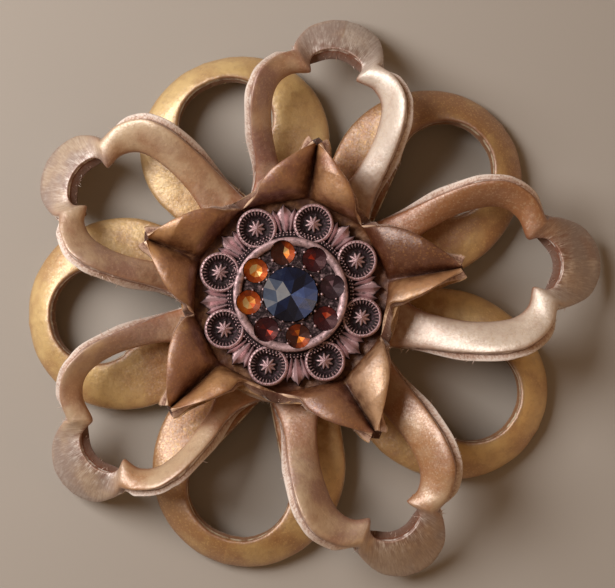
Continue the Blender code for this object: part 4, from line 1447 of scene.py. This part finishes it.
@dataclass
class BerryConcho:
    """The cast concho: plate and post, stone setting, milled ring, eight berries and eight leaves."""

    place: Vector
    stone_circle: float
    setting_radius: float
    ring_radius: float
    berry_circle: float
    finish: AntiqueCopper
    slot: str = "antique_copper"
    plate: float = 0.0012
    setting_height: float = 0.0023
    setting_wall: float = 0.00055
    bore_radius: float = 0.0023
    post_radius: float = 0.0031
    post_drop: float = 0.0063
    bed_height: float = 0.00125
    berry_radius: float = 0.0034
    berry_height: float = 0.0022
    berry_phase: float = 27.3
    dish_share: float = 0.57
    star_rays: int = 9
    leaf_phase: float = 4.8
    leaf_height: float = 0.0020
    small_radius: float = 0.00205
    centre_radius: float = 0.0046
    stone_phase: float = 10.4
    seat_clearance: float = 0.00006
    seat_reach: float = 0.006
    # Spears of a leaf: length past the ring, sideways place of start and tip, half width and share of height
    spears: tuple = ((0.0050, 0.0, 0.0, 0.00125, 1.0), (0.0042, 0.00070, 0.00190, 0.00095, 0.92),
                     (0.0042, -0.00070, -0.00190, 0.00095, 0.92))

    def around(self, radius: float, phase: float, height: float) -> list[Vector]:
        """Lists the eight points of a ring about the concho's axis."""
        turns = [math.radians(phase + 45 * i) for i in range(8)]
        return [self.place + Vector((radius * math.cos(a), radius * math.sin(a), height)) for a in turns]

    def keep(self, name: str, mesh: Mesh, height_of: Callable[[Vector], float], *nodes: str) -> None:
        """Writes the relief attribute of a finished piece of the casting and settles it.

        Args:
            name: the piece's name.
            mesh: its mesh, in its final place.
            height_of: gives the relief at a point, measured from the concho's foot.
            *nodes: CAD nodes that the piece stands for.
        """
        write_values(mesh, "relief", [height_of(vert.co - self.place) for vert in mesh.vertices])
        settle(add_piece(name, mesh), self.slot, *nodes)

    def body(self, material: Material) -> None:
        """Builds plate, post, milled ring's bed and the setting with its drilled seats.

        Args:
            material: the casting's material.
        """
        top = self.plate + self.setting_height
        r, s = self.setting_radius, self.setting_radius - self.setting_wall
        bed = self.plate + self.bed_height
        profile = [
            (0, self.plate - 0.0008), (self.bore_radius, self.plate - 0.0008),
            (self.bore_radius, -self.post_drop), (self.post_radius, -self.post_drop), (self.post_radius, 0),
            (self.berry_circle - 0.0006, 0), (self.berry_circle - 0.0004, 0.0002),
            (self.berry_circle - 0.0004, self.plate - 0.0005),
            (self.ring_radius + 0.0003, self.plate - 0.0003), (self.ring_radius, self.plate + 0.00022),
            (self.ring_radius - 0.0003, self.plate + 0.00055), (r + 0.0001, self.plate + 0.0006),
            (r, self.plate + 0.0008), (r - 0.0001, top - 0.00045), (r - 0.00018, top - 0.0002),
            (r - 0.0004, top - 0.00004), (r - 0.0006, top), (r - 0.0010, top - 0.00006),
            (s - 0.0007, top - 0.00022), (s - 0.00088, top - 0.0004), (s - 0.0010, bed + 0.0002),
            (s - 0.0011, bed), (0, bed)]
        shape = turned(profile, 192)
        bmesh.ops.translate(shape, vec=self.place, verts=shape.verts)
        cutter = bmesh.new()
        small = self.around(self.stone_circle, self.stone_phase, 0)
        for centre, stone in ((self.place, self.centre_radius),
                              *((spot, self.small_radius) for spot in small)):
            radius, reach = stone + self.seat_clearance, self.seat_reach
            seat = turned([(0, 0), (radius, 0), (radius, reach), (0, reach)], 64)
            floor = Vector((centre.x, centre.y, self.place.z + self.plate))
            join_into(cutter, seat, Matrix.Translation(floor))
            seat.free()
        bm = cut_away(shape, cutter, True)
        bmesh.ops.remove_doubles(bm, verts=bm.verts, dist=WELD)
        mesh = finish_mesh("concho_body", bm, [material], 32)

        def relief(p: Vector) -> float:
            """Gives the relief: high on the setting's rim, low on the bed, the milled ring and the post.

            Args:
                p: a point of the body.

            Returns:
                Its relief.
            """
            distance = math.hypot(p.x, p.y)
            if p.z > top - 0.0007 and distance > s - 0.0016:
                return 0.5
            if distance > self.setting_radius - 0.0002:
                return 0.06 if p.z > 0.0003 else 0.55
            return 0.24 if p.z > bed - 0.0002 else 0.05

        self.keep("concho_body", mesh, relief, "metal_concho")

    def berry(self) -> BMesh:
        """Builds one berry: a dish with a rounded rim and a rayed star that rises from its middle.

        Returns:
            The berry about the Z axis.
        """
        radius, height, segments = self.berry_radius, self.berry_height, 72
        dish = self.dish_share
        wall = [(0, 0.04), (0.96, 0.04), (1.0, 0.12), (1.0, 0.66), (0.985, 0.80), (0.94, 0.90), (0.88, 0.93),
                (0.82, 0.88), (0.78, 0.80), (0.68, 0.70), (0.58, 0.62), (0.50, dish)]
        bm = turned([(r * radius, z * height) for r, z in wall] + [(0, dish * height)], segments)
        bm.verts.ensure_lookup_table()
        bmesh.ops.delete(bm, geom=[bm.verts[-1]], context="VERTS")
        bm.verts.ensure_lookup_table()
        rings = [list(bm.verts[-segments:])]
        for step in (0.88, 0.76, 0.64, 0.52, 0.40, 0.28, 0.16, 0.07):
            ring = []
            for i in range(segments):
                angle = 2 * math.pi * i / segments
                ray = (0.5 + 0.5 * math.cos(self.star_rays * angle)) ** 1.2
                inside = max(0.0, 1 - step / (0.58 + 0.40 * ray))
                z = dish + 0.40 * inside ** 0.85
                r = 0.5 * step * radius
                ring.append(bm.verts.new((r * math.cos(angle), r * math.sin(angle), z * height)))
            rings.append(ring)
        bridge(bm, [*rings, [bm.verts.new((0, 0, (dish + 0.41) * height))]])
        bmesh.ops.recalc_face_normals(bm, faces=bm.faces)
        return bm

    def berries(self, material: Material) -> None:
        """Builds the eight berries.

        Args:
            material: the casting's material.
        """
        shape = self.berry()
        bm = bmesh.new()
        centres = self.around(self.berry_circle, self.berry_phase, 0)
        for i, centre in enumerate(centres):
            join_into(bm, shape, Matrix.Translation(centre) @ Matrix.Rotation(
                math.radians(self.berry_phase + 45 * i), 4, "Z"))
        shape.free()

        def relief(p: Vector) -> float:
            """Gives the relief: low in the dish, high on the rim and on the star's rays.

            Args:
                p: a point of the berries.

            Returns:
                Its relief.
            """
            centre = min(centres, key=lambda c: (c - self.place - p).xy.length)
            share = (p - (centre - self.place)).xy.length / self.berry_radius
            lift = p.z / self.berry_height
            if share > 0.86:
                return 0.62 if lift > 0.6 else 0.25
            if share > 0.49:
                return 0.0
            return clamp((lift - self.dish_share - 0.02) / 0.18)

        self.keep("concho_berries", finish_mesh("concho_berries", bm, [material], 60), relief)

    def spear(self, length: float, near: float, far: float, half: float, height: float) -> BMesh:
        """Builds one spear of a leaf: a narrow roof with a sharp ridge, hollow sides and a pointed tip.

        Args:
            length: how far its tip is past the milled ring.
            near: sideways place of its start.
            far: sideways place of its tip.
            half: half its greatest width.
            height: its height as a share of the leaf's.

        Returns:
            The spear, along X.
        """
        outline = catmull_rom([(0, 0.50, 0.92), (0.3, 0.66, 0.96), (0.62, 1.0, 1.0), (0.74, 0.88, 0.97),
                               (0.88, 0.42, 0.84), (1.0, 0.02, 0.62)], np.linspace(0, 5, 21))
        section = ((-1.0, 0.34), (-0.9, 0.50), (-0.55, 0.56), (-0.25, 0.72), (0.0, 1.0), (0.25, 0.72),
                   (0.55, 0.56), (0.9, 0.50), (1.0, 0.34))
        bm = bmesh.new()
        loops = []
        for along, width, lift in outline:
            x = self.ring_radius - 0.0003 + along * length
            middle = near + (far - near) * along
            reach = half * max(width, 0.02)
            top = self.leaf_height * height * lift
            loop = [bm.verts.new((x, middle + share * reach, rise * top)) for share, rise in section]
            loop += [bm.verts.new((x, middle + reach, 0.0002)), bm.verts.new((x, middle - reach, 0.0002))]
            loops.append(loop)
        bridge(bm, loops)
        for end in (loops[0], loops[-1]):
            bm.faces.new(end)
        bmesh.ops.recalc_face_normals(bm, faces=bm.faces)
        return bm

    def leaves(self, material: Material) -> None:
        """Builds the eight leaves between the berries, each of three spears side by side.

        Args:
            material: the casting's material.
        """
        bm = bmesh.new()
        for sizes in self.spears:
            shape = self.spear(*sizes)
            for i in range(8):
                turn = Matrix.Rotation(math.radians(self.leaf_phase + 45 * i), 4, "Z")
                join_into(bm, shape, Matrix.Translation(self.place) @ turn)
            shape.free()

        def relief(p: Vector) -> float:
            """Gives the relief: high on the ridges and the outer half, low in the grooves and by the ring."""
            outward = clamp((math.hypot(p.x, p.y) - self.ring_radius) / 0.0022)
            return clamp((p.z / self.leaf_height - 0.39) / 0.26) * (0.6 + 0.4 * outward)

        self.keep("concho_leaves", finish_mesh("concho_leaves", bm, [material], 25), relief)

    def teeth(self, material: Material) -> None:
        """Builds the teeth inside the berries' rims, the milled ring and the beads that hold the stones.

        Args:
            material: the casting's material.
        """
        inside = self.around(self.berry_circle, self.berry_phase, 0.84 * self.berry_height)
        small = self.around(self.stone_circle, self.stone_phase, self.plate + 0.00155)
        axis = [self.place + Vector((0, 0, self.plate + 0.00058))]
        middle = [self.place + Vector((0, 0, self.plate + 0.00165))]
        milling = (self.setting_radius + self.ring_radius) / 2
        rings = (
            ToothRing("concho_rim_teeth", ToothShape.SPIKE, inside, 0.95 * self.berry_radius, 30,
                      (0.00105, 0.00056, 0.00074), tilt=-10, jitter=0.12, seed=5),
            ToothRing("concho_milling_outside", ToothShape.BEAD, axis, milling + 0.00026, 112,
                      (0.00034, 0.00028, 0.00034), jitter=0.2, seed=9),
            ToothRing("concho_milling_inside", ToothShape.BEAD, axis, milling - 0.00012, 104,
                      (0.00030, 0.00024, 0.00034), jitter=0.2, seed=10),
            ToothRing("concho_small_beads", ToothShape.BEAD, small, self.small_radius + 0.00008, 5,
                      (0.00040, 0.00046, 0.00050), jitter=0.25, seed=13),
            ToothRing("concho_centre_beads", ToothShape.BEAD, middle, self.centre_radius + 0.00006, 17,
                      (0.00034, 0.00050, 0.00046), jitter=0.25, seed=17),
        )
        lifts = ((0.35, 1.0), (0.0, 0.75), (0.0, 0.7), (0.1, 0.75), (0.1, 0.7))
        for ring, relief in zip(rings, lifts):
            settle(ring.build(material, relief), self.slot)

    def build(self) -> None:
        """Builds and dresses the whole casting."""
        material = self.finish.make()
        self.body(material)
        self.berries(material)
        self.leaves(material)
        self.teeth(material)


@dataclass
class CutStone:
    """A round rhinestone: flat table, two rows of crown facets, thin girdle and a foiled, pointed back.

    The back facets are painted unequally bright, as painted glints and reflections: a list of directions gives
    the bright ones, each with its width in degrees and its brightness.
    """

    name: str
    node: str
    slot: str
    centre: Vector
    radius: float
    crown: float
    back: float
    tint: StoneTint
    turn: float
    glint_directions: tuple[tuple[float, float, float], ...]
    facets: int = 8
    table_share: float = 0.56
    break_share: float = 0.55
    # Share of the painted glint that the outer row of back facets gets
    rim_glint: float = 0.72
    dim: float = 0.06

    def painted_glint(self, direction: float, outside: bool) -> float:
        """Gives the painted glint of a back facet: how bright it is painted.

        Args:
            direction: the angle of the facet's middle in degrees.
            outside: whether it lies in the outer row.

        Returns:
            Brightness from 0 to 1.
        """
        level = self.dim
        for angle, width, strength in self.glint_directions:
            off = abs((direction - angle + 180) % 360 - 180)
            near = max(0.0, 1 - off / width) ** 0.6
            level = max(level, strength * near * (self.rim_glint if outside else 1.0))
        return level

    def build(self) -> None:
        """Builds the stone with glass in front and foil behind."""
        bm = bmesh.new()
        sides = 2 * self.facets

        def ring(count: int, radius: float, height: float, offset: float) -> list:
            """Adds a ring of points, turned by an offset in steps."""
            turns = [2 * math.pi * (i + offset) / count for i in range(count)]
            return [bm.verts.new((radius * math.cos(a), radius * math.sin(a), height)) for a in turns]

        girdle = 0.03 * self.radius
        edge = ring(sides, self.radius, self.back, 0)
        upper = ring(sides, self.radius, self.back + girdle, 0)
        table = ring(self.facets, self.radius * self.table_share, self.back + self.crown, 0.5)
        inner = ring(self.facets, self.radius * self.break_share, self.back * (self.break_share - 0.06), 0.5)
        tip = bm.verts.new((0, 0, 0))
        bm.faces.new(table)
        for i in range(self.facets):
            here, following = table[i], table[(i + 1) % self.facets]
            first, second, third = (upper[(2 * i + step) % sides] for step in range(3))
            bm.faces.new((first, second, here))
            bm.faces.new((second, third, here))
            bm.faces.new((here, third, following))
            near, after = inner[i], inner[(i + 1) % self.facets]
            low = [edge[(2 * i + step) % sides] for step in range(3)]
            for corners in ((near, low[1], low[0]), (near, low[2], low[1]), (after, low[2], near),
                            (tip, after, near)):
                bm.faces.new(corners).material_index = 1
        bridge(bm, [edge, upper])
        bmesh.ops.recalc_face_normals(bm, faces=bm.faces)
        bmesh.ops.transform(bm, matrix=Matrix.Rotation(math.radians(self.turn), 4, "Z"), verts=bm.verts)
        levels = []
        for face in bm.faces:
            middle = face.calc_center_median()
            direction = math.degrees(math.atan2(middle.y, middle.x))
            levels.append(self.painted_glint(direction, middle.xy.length > self.break_share * self.radius))
        bmesh.ops.translate(bm, vec=self.centre, verts=bm.verts)
        glass = CutGlass(self.tint)
        mesh = bpy.data.meshes.new(self.name)
        bm.to_mesh(mesh)
        bm.free()
        mesh.materials.append(glass.crown())
        mesh.materials.append(glass.foil())
        write_values(mesh, "painted_glint", levels, "FACE")
        settle(add_piece(self.name, mesh), self.slot, self.node)


@dataclass
class ScrewBack:
    """The slotted screw behind the flower: a turned head under the leather and a shank in the post."""

    place: Vector
    finish: TurnedSteel
    head_radius: float = 0.00475
    head_thickness: float = 0.0013
    chamfer: float = 0.0004
    shank_radius: float = 0.0020
    shank_end: float = 0.0072
    pitch: float = 0.0007
    slot_width: float = 0.0010
    slot_depth: float = 0.0006
    slot_turn: float = 22.0

    def build(self) -> None:
        """Builds and dresses the screw."""
        r, c = self.head_radius, self.chamfer
        low, high = -CONTACT_GAP - self.head_thickness, -CONTACT_GAP
        profile = [(0, low), (r - c - 0.0003, low), (r - c, low + 0.00004), (r - 0.00006, low + c - 0.00006),
                   (r, low + c), (r, high - 0.0001), (r - 0.0001, high), (self.shank_radius, high)]
        turns = int((self.shank_end - high - 0.0006) / self.pitch)
        for i in range(turns):
            z = high + 0.0004 + i * self.pitch
            profile += [(self.shank_radius - depth, z + share * self.pitch)
                        for depth, share in ((0, 0), (0.00022, 0.3), (0.00022, 0.6), (0, 0.9))]
        profile += [(self.shank_radius - 0.0002, self.shank_end), (0, self.shank_end)]
        slot = bmesh.new()
        bmesh.ops.create_cube(slot, size=1)
        matrix = Matrix.Translation((0, 0, low)) @ Matrix.Rotation(math.radians(self.slot_turn), 4, "Z")
        size = Matrix.Diagonal((2 * r + 2 * self.slot_width, self.slot_width, 2 * self.slot_depth, 1))
        bmesh.ops.transform(slot, matrix=matrix @ size, verts=slot.verts)
        bm = cut_away(turned(profile, 96), slot, False)
        bmesh.ops.transform(bm, matrix=Matrix.Translation(self.place), verts=bm.verts)
        final = finish_mesh("screw_back", bm, [self.finish.make()], 28)
        settle(add_piece("screw_back", final), "screw_steel", "back_screw")


@dataclass
class Studio:
    """Floor, soft lights and the camera at the photograph's viewing angle."""

    aim: Vector
    tilt: float = 3.5
    lean: float = -50.0
    distance: float = 0.45
    frame_width: float = 0.10332
    right_shift: float = 0.00277
    up_shift: float = 0.00017

    def floor(self) -> None:
        """Lays the pale floor."""
        bm = bmesh.new()
        bmesh.ops.create_grid(bm, x_segments=1, y_segments=1, size=1.5)
        material, node = new_material("pale_studio_floor")
        node("OutputMaterial", (node("BsdfPrincipled", {"Base Color": linear("#B2ADA5"), "Roughness": 0.9}),))
        add_piece("floor", finish_mesh("floor", bm, [material]))

    def light(self, name: str, towards: tuple[float, float, float], distance: float, size: float,
              watts: float, colour: str) -> None:
        """Hangs one square soft light.

        Args:
            name: the light's name.
            towards: direction from the flower to the light.
            distance: how far off it hangs.
            size: its side.
            watts: its power.
            colour: its colour as hex.
        """
        data = bpy.data.lights.new(name, "AREA")
        data.shape = "SQUARE"
        data.size = size
        data.energy = watts
        data.color = linear(colour)[:3]
        lamp = bpy.data.objects.new(name, data)
        direction = Vector(towards).normalized()
        lamp.location = self.aim + direction * distance
        lamp.rotation_euler = direction.to_track_quat("Z", "Y").to_euler()
        bpy.context.scene.collection.objects.link(lamp)

    def camera(self) -> None:
        """Sets the camera nearly straight above, leaning as the photograph does."""
        tilt, lean = math.radians(self.tilt), math.radians(self.lean)
        view = Vector((math.sin(tilt) * math.cos(lean), math.sin(tilt) * math.sin(lean), math.cos(tilt)))
        right = Vector((0, 1, 0)).cross(view).normalized()
        up = view.cross(right)
        data = bpy.data.cameras.new("camera")
        data.lens = data.sensor_width * self.distance / self.frame_width
        data.clip_start = 0.01
        camera = bpy.data.objects.new("camera", data)
        turn = Matrix((right, up, view)).transposed().to_4x4()
        eye = self.aim + view * self.distance + right * self.right_shift + up * self.up_shift
        camera.matrix_world = Matrix.Translation(eye) @ turn
        bpy.context.scene.collection.objects.link(camera)
        bpy.context.scene.camera = camera

    def build(self) -> None:
        """Sets up everything around the flower."""
        self.floor()
        self.light("key", (-0.66, 0.30, 0.70), 0.40, 0.24, 1.66, "#FFF7F2")
        self.light("far_side", (0.85, -0.35, 0.42), 1.2, 0.8, 1.3, "#FFBE84")
        world = bpy.data.worlds.new("studio")
        world.use_nodes = True
        shade = world.node_tree.nodes["Background"]
        shade.inputs["Color"].default_value = linear("#D6AE88")
        shade.inputs["Strength"].default_value = 0.25
        bpy.context.scene.world = world
        bpy.context.scene.view_settings.view_transform = "Standard"
        self.camera()


def main() -> None:
    """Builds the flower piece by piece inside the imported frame."""
    logging.basicConfig(level=logging.INFO, format="%(name)s: %(message)s")
    low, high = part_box("centre_stone")
    centre = (low + high) / 2
    hub_bottom = low.z - 0.0089
    place = Vector((centre.x, centre.y, hub_bottom))
    stone_circle, concho_radius = 0.0071, 0.0159

    gold = PearlLeather("pearl_painted_leather_pale_gold", light="#EECC84", base="#BC8848", deep="#8A5020",
                        dusk="#A88A66", worn="#EFE2C4", line="#8A6238", blush="#B07A44", rub_mm=0.3,
                        line_strength=0.3, metallic=0.3, pearl=0.8)
    champagne = PearlLeather("pearl_painted_leather_champagne", light="#E2C8A4", base="#B88048",
                             deep="#96501C", dusk="#A8968C", worn="#F6EEE6", line="#7C4630", blush="#A67A6C",
                             rub_mm=0.3, metallic=0.2, pearl=0.9)
    bronze = PearlLeather("pearl_painted_leather_bronze", light="#C8965E", base="#9E602E", deep="#461A06",
                          dusk="#B8977C", worn="#E8C8AA", line="#6E3C22", blush="#96604A", rub_mm=0.5,
                          pearl=0.6, metallic=0.25, edge_thin_paint_and_shade=0.15, line_strength=0.2)
    # The fifth colour of each cut edge is its painted shade, for the cut-outs' walls and the walls by the hub
    back_cut, middle_cut, inner_cut = (RawCutEdge(f"raw_cut_edge_{name}", *shades) for name, *shades in (
        ("gold", "#8A5A3C", "#8A6844", "#B4965E", "#DECBA0", "#7A4E2C", 2.2),
        ("champagne", "#7A4428", "#9A7462", "#CCAE9C", "#F2E6DC", "#5C341C", 2.2),
        ("bronze", "#6A3A26", "#5E3E32", "#886454", "#C8A892", "#4E260F", 1.8)))
    shared = {"place": place, "concho_radius": concho_radius, "hole_radius": 0.0034,
              "flesh": FleshSide("flesh_side_suede", "#8E6C4A", "#C09A70")}
    # In the three layers below, each petal's last pair of values paints light and shade on its halves: above 0
    # a painted highlight, below 0 painted shade
    BackLayer("back_leather", "back_petals", "pale_gold_leather", (
        Petal(185.5, length=0.957, tints=(0.9, 0.9), painted_lights=(0.15, 0.3)),
        Petal(111.0, length=0.873, tints=(1.0, 1.0), painted_lights=(0.5, 0.5)),
        Petal(39.6, length=0.98, half_widths=(1.0, 0.93), tints=(0.3, 0.2), painted_lights=(-0.4, -0.1)),
        Petal(-28.5, length=1.013, half_widths=(0.93, 1.0), tints=(0.6, 0.8), painted_lights=(0.4, 0.2)),
        Petal(-104.6, openings=(1.0, 1.14), tints=(0.6, 0.6), painted_lights=(0.0, -0.35))),
        top=0.0022, thickness=0.0022, length=0.0300, half_width=0.0168, rise=0.0, opening=0.0079,
        hub_radius=0.0175, paint=gold, cut=back_cut,
        fibre=LooseFibre("loose_fibre_gold", "#A68A5C", "#E2CFA4"),
        fringe=FibreFringe("back_leather_fibres", per_mm2=1.6, length=0.34 * MM, seed=21), seed=1.3,
        edge_radius_mm=0.9, crown=0.0009, **shared).build()
    MiddleLayer("middle_leather", "middle_petals", "champagne_leather", (
        Petal(79.0, 0.93, (0.915, 0.97), openings=(1.035, 1.0), tints=(0.2, 0.8), painted_lights=(-0.15, 1.0)),
        Petal(151.0, 0.93, (0.88, 1.055), (1.06, 0.94), (0.88, 0.975), (0.2, 0.45), (0.15, 0.25)),
        Petal(219.0, 0.997, (0.845, 1.045), (1.06, 0.94), (0.94, 1.275), (0.9, 0.2), (0.1, 0.2)),
        Petal(294.5, 1.018, (0.995, 0.97), (1.0, 1.06), (0.82, 0.88), (1.0, 0.2), (0.0, 0.15)),
        Petal(7.0, 1.059, (1.055, 1.03), openings=(1.18, 0.94), tints=(1.0, 0.7), painted_lights=(-0.6, 0.8))),
        top=0.0047, thickness=0.0022, length=0.0340, half_width=0.0140, rise=0.0085, opening=0.0084,
        hub_radius=0.0175, paint=champagne, cut=middle_cut,
        fibre=LooseFibre("loose_fibre_champagne", "#C09A86", "#F4E6DC"),
        fringe=FibreFringe("middle_leather_fibres", per_mm2=4.5, length=0.75 * MM, seed=23), seed=2.6,
        edge_radius_mm=0.6, wall_flare=0.0013, crown=0.0013, shoulders_mm=(1.4, 2.2),
        shoulder_drops_mm=(0.5, 0.9), **shared).build()
    InnerLayer("inner_leather", "inner_petals", "bronze_leather", (
        Petal(80.0, 0.817, (0.99, 0.97), tints=(0.2, 0.8), painted_lights=(-0.1, 0.0)),
        Petal(158.7, 0.835, (0.915, 1.055), (0.92, 1.0), tints=(0.1, 0.7), painted_lights=(0.4, 0.2)),
        Petal(223.3, 1.00, (0.61, 1.055), (1.08, 1.0), tints=(1.0, 0.3), painted_lights=(0.2, 0.2)),
        Petal(301.5, 0.936, (1.01, 0.915), tints=(1.0, 0.4), painted_lights=(0.7, -0.3)),
        Petal(8.8, 1.119, (1.045, 0.535), (0.92, 1.08), tints=(0.9, 1.0), painted_lights=(-0.9, 0.5))),
        top=0.0068, thickness=0.0018, length=0.0109, half_width=0.0092, rise=0.0060, opening=0.0,
        hub_radius=0.0166, paint=bronze, cut=inner_cut,
        fibre=LooseFibre("loose_fibre_bronze", "#B48A74", "#EED8CA"),
        fringe=FibreFringe("inner_leather_fibres", per_mm2=3.0, length=0.36 * MM, seed=25), seed=4.1,
        edge_radius_mm=0.45, crown=0.0016, wall_flare=0.0009, rows=80, cut_edges=(False, True),
        **shared).build()

    copper = AntiqueCopper("antique_copper_plate", "#D2B4B8", "#80586A", "#1C1012")
    concho = BerryConcho(place + Vector((0, 0, 0.0071)), stone_circle, setting_radius=0.0097,
                         ring_radius=0.0107, berry_circle=0.0125, finish=copper)
    concho.build()
    foot = place + Vector((0, 0, 0.0086))
    # Each stone's list of directions paints glints and reflections onto its back facets
    CutStone("centre_rhinestone", "centre_stone", "dark_blue_glass", foot, concho.centre_radius, crown=0.0016,
             back=0.0018, tint=StoneTint.NIGHT, turn=8.0, glint_directions=(
                 (158, 40, 1.25), (200, 36, 1.2), (116, 34, 0.62), (80, 26, 0.3), (12, 40, 0.44),
                 (-50, 26, 0.34))).build()
    stones = ((StoneTint.SMOKE, ((110, 40, 0.9), (200, 50, 0.5))),
              (StoneTint.GARNET, ((130, 45, 0.8), (215, 45, 0.4))),
              (StoneTint.AMBER, ((0, 70, 0.85), (60, 40, 1.0))),
              (StoneTint.AMBER, ((140, 130, 1.45), (-40, 140, 0.95))),
              (StoneTint.AMBER, ((200, 130, 1.45), (30, 90, 0.9))),
              (StoneTint.GARNET, ((-50, 45, 0.75), (140, 50, 0.4))),
              (StoneTint.AMBER, ((-60, 60, 0.8), (110, 45, 0.62))),
              (StoneTint.GARNET, ((75, 60, 1.0), (200, 40, 0.4))))
    spots = [Vector((spot.x, spot.y, foot.z)) for spot in concho.around(stone_circle, concho.stone_phase, 0)]
    for i, (spot, (tint, glint_directions)) in enumerate(zip(spots, stones)):
        CutStone(f"small_rhinestone_{i + 1}", f"small_stone_{i + 1}", "amber_glass", spot,
                 concho.small_radius, crown=0.00074, back=0.00098, tint=tint,
                 turn=concho.stone_phase + 45 * i, glint_directions=glint_directions, rim_glint=0.45).build()
    ScrewBack(place, TurnedSteel("turned_steel", centre)).build()
    Studio(aim=Vector((place.x, place.y, 0.0108))).build()


if __name__ == "__main__":
    main()
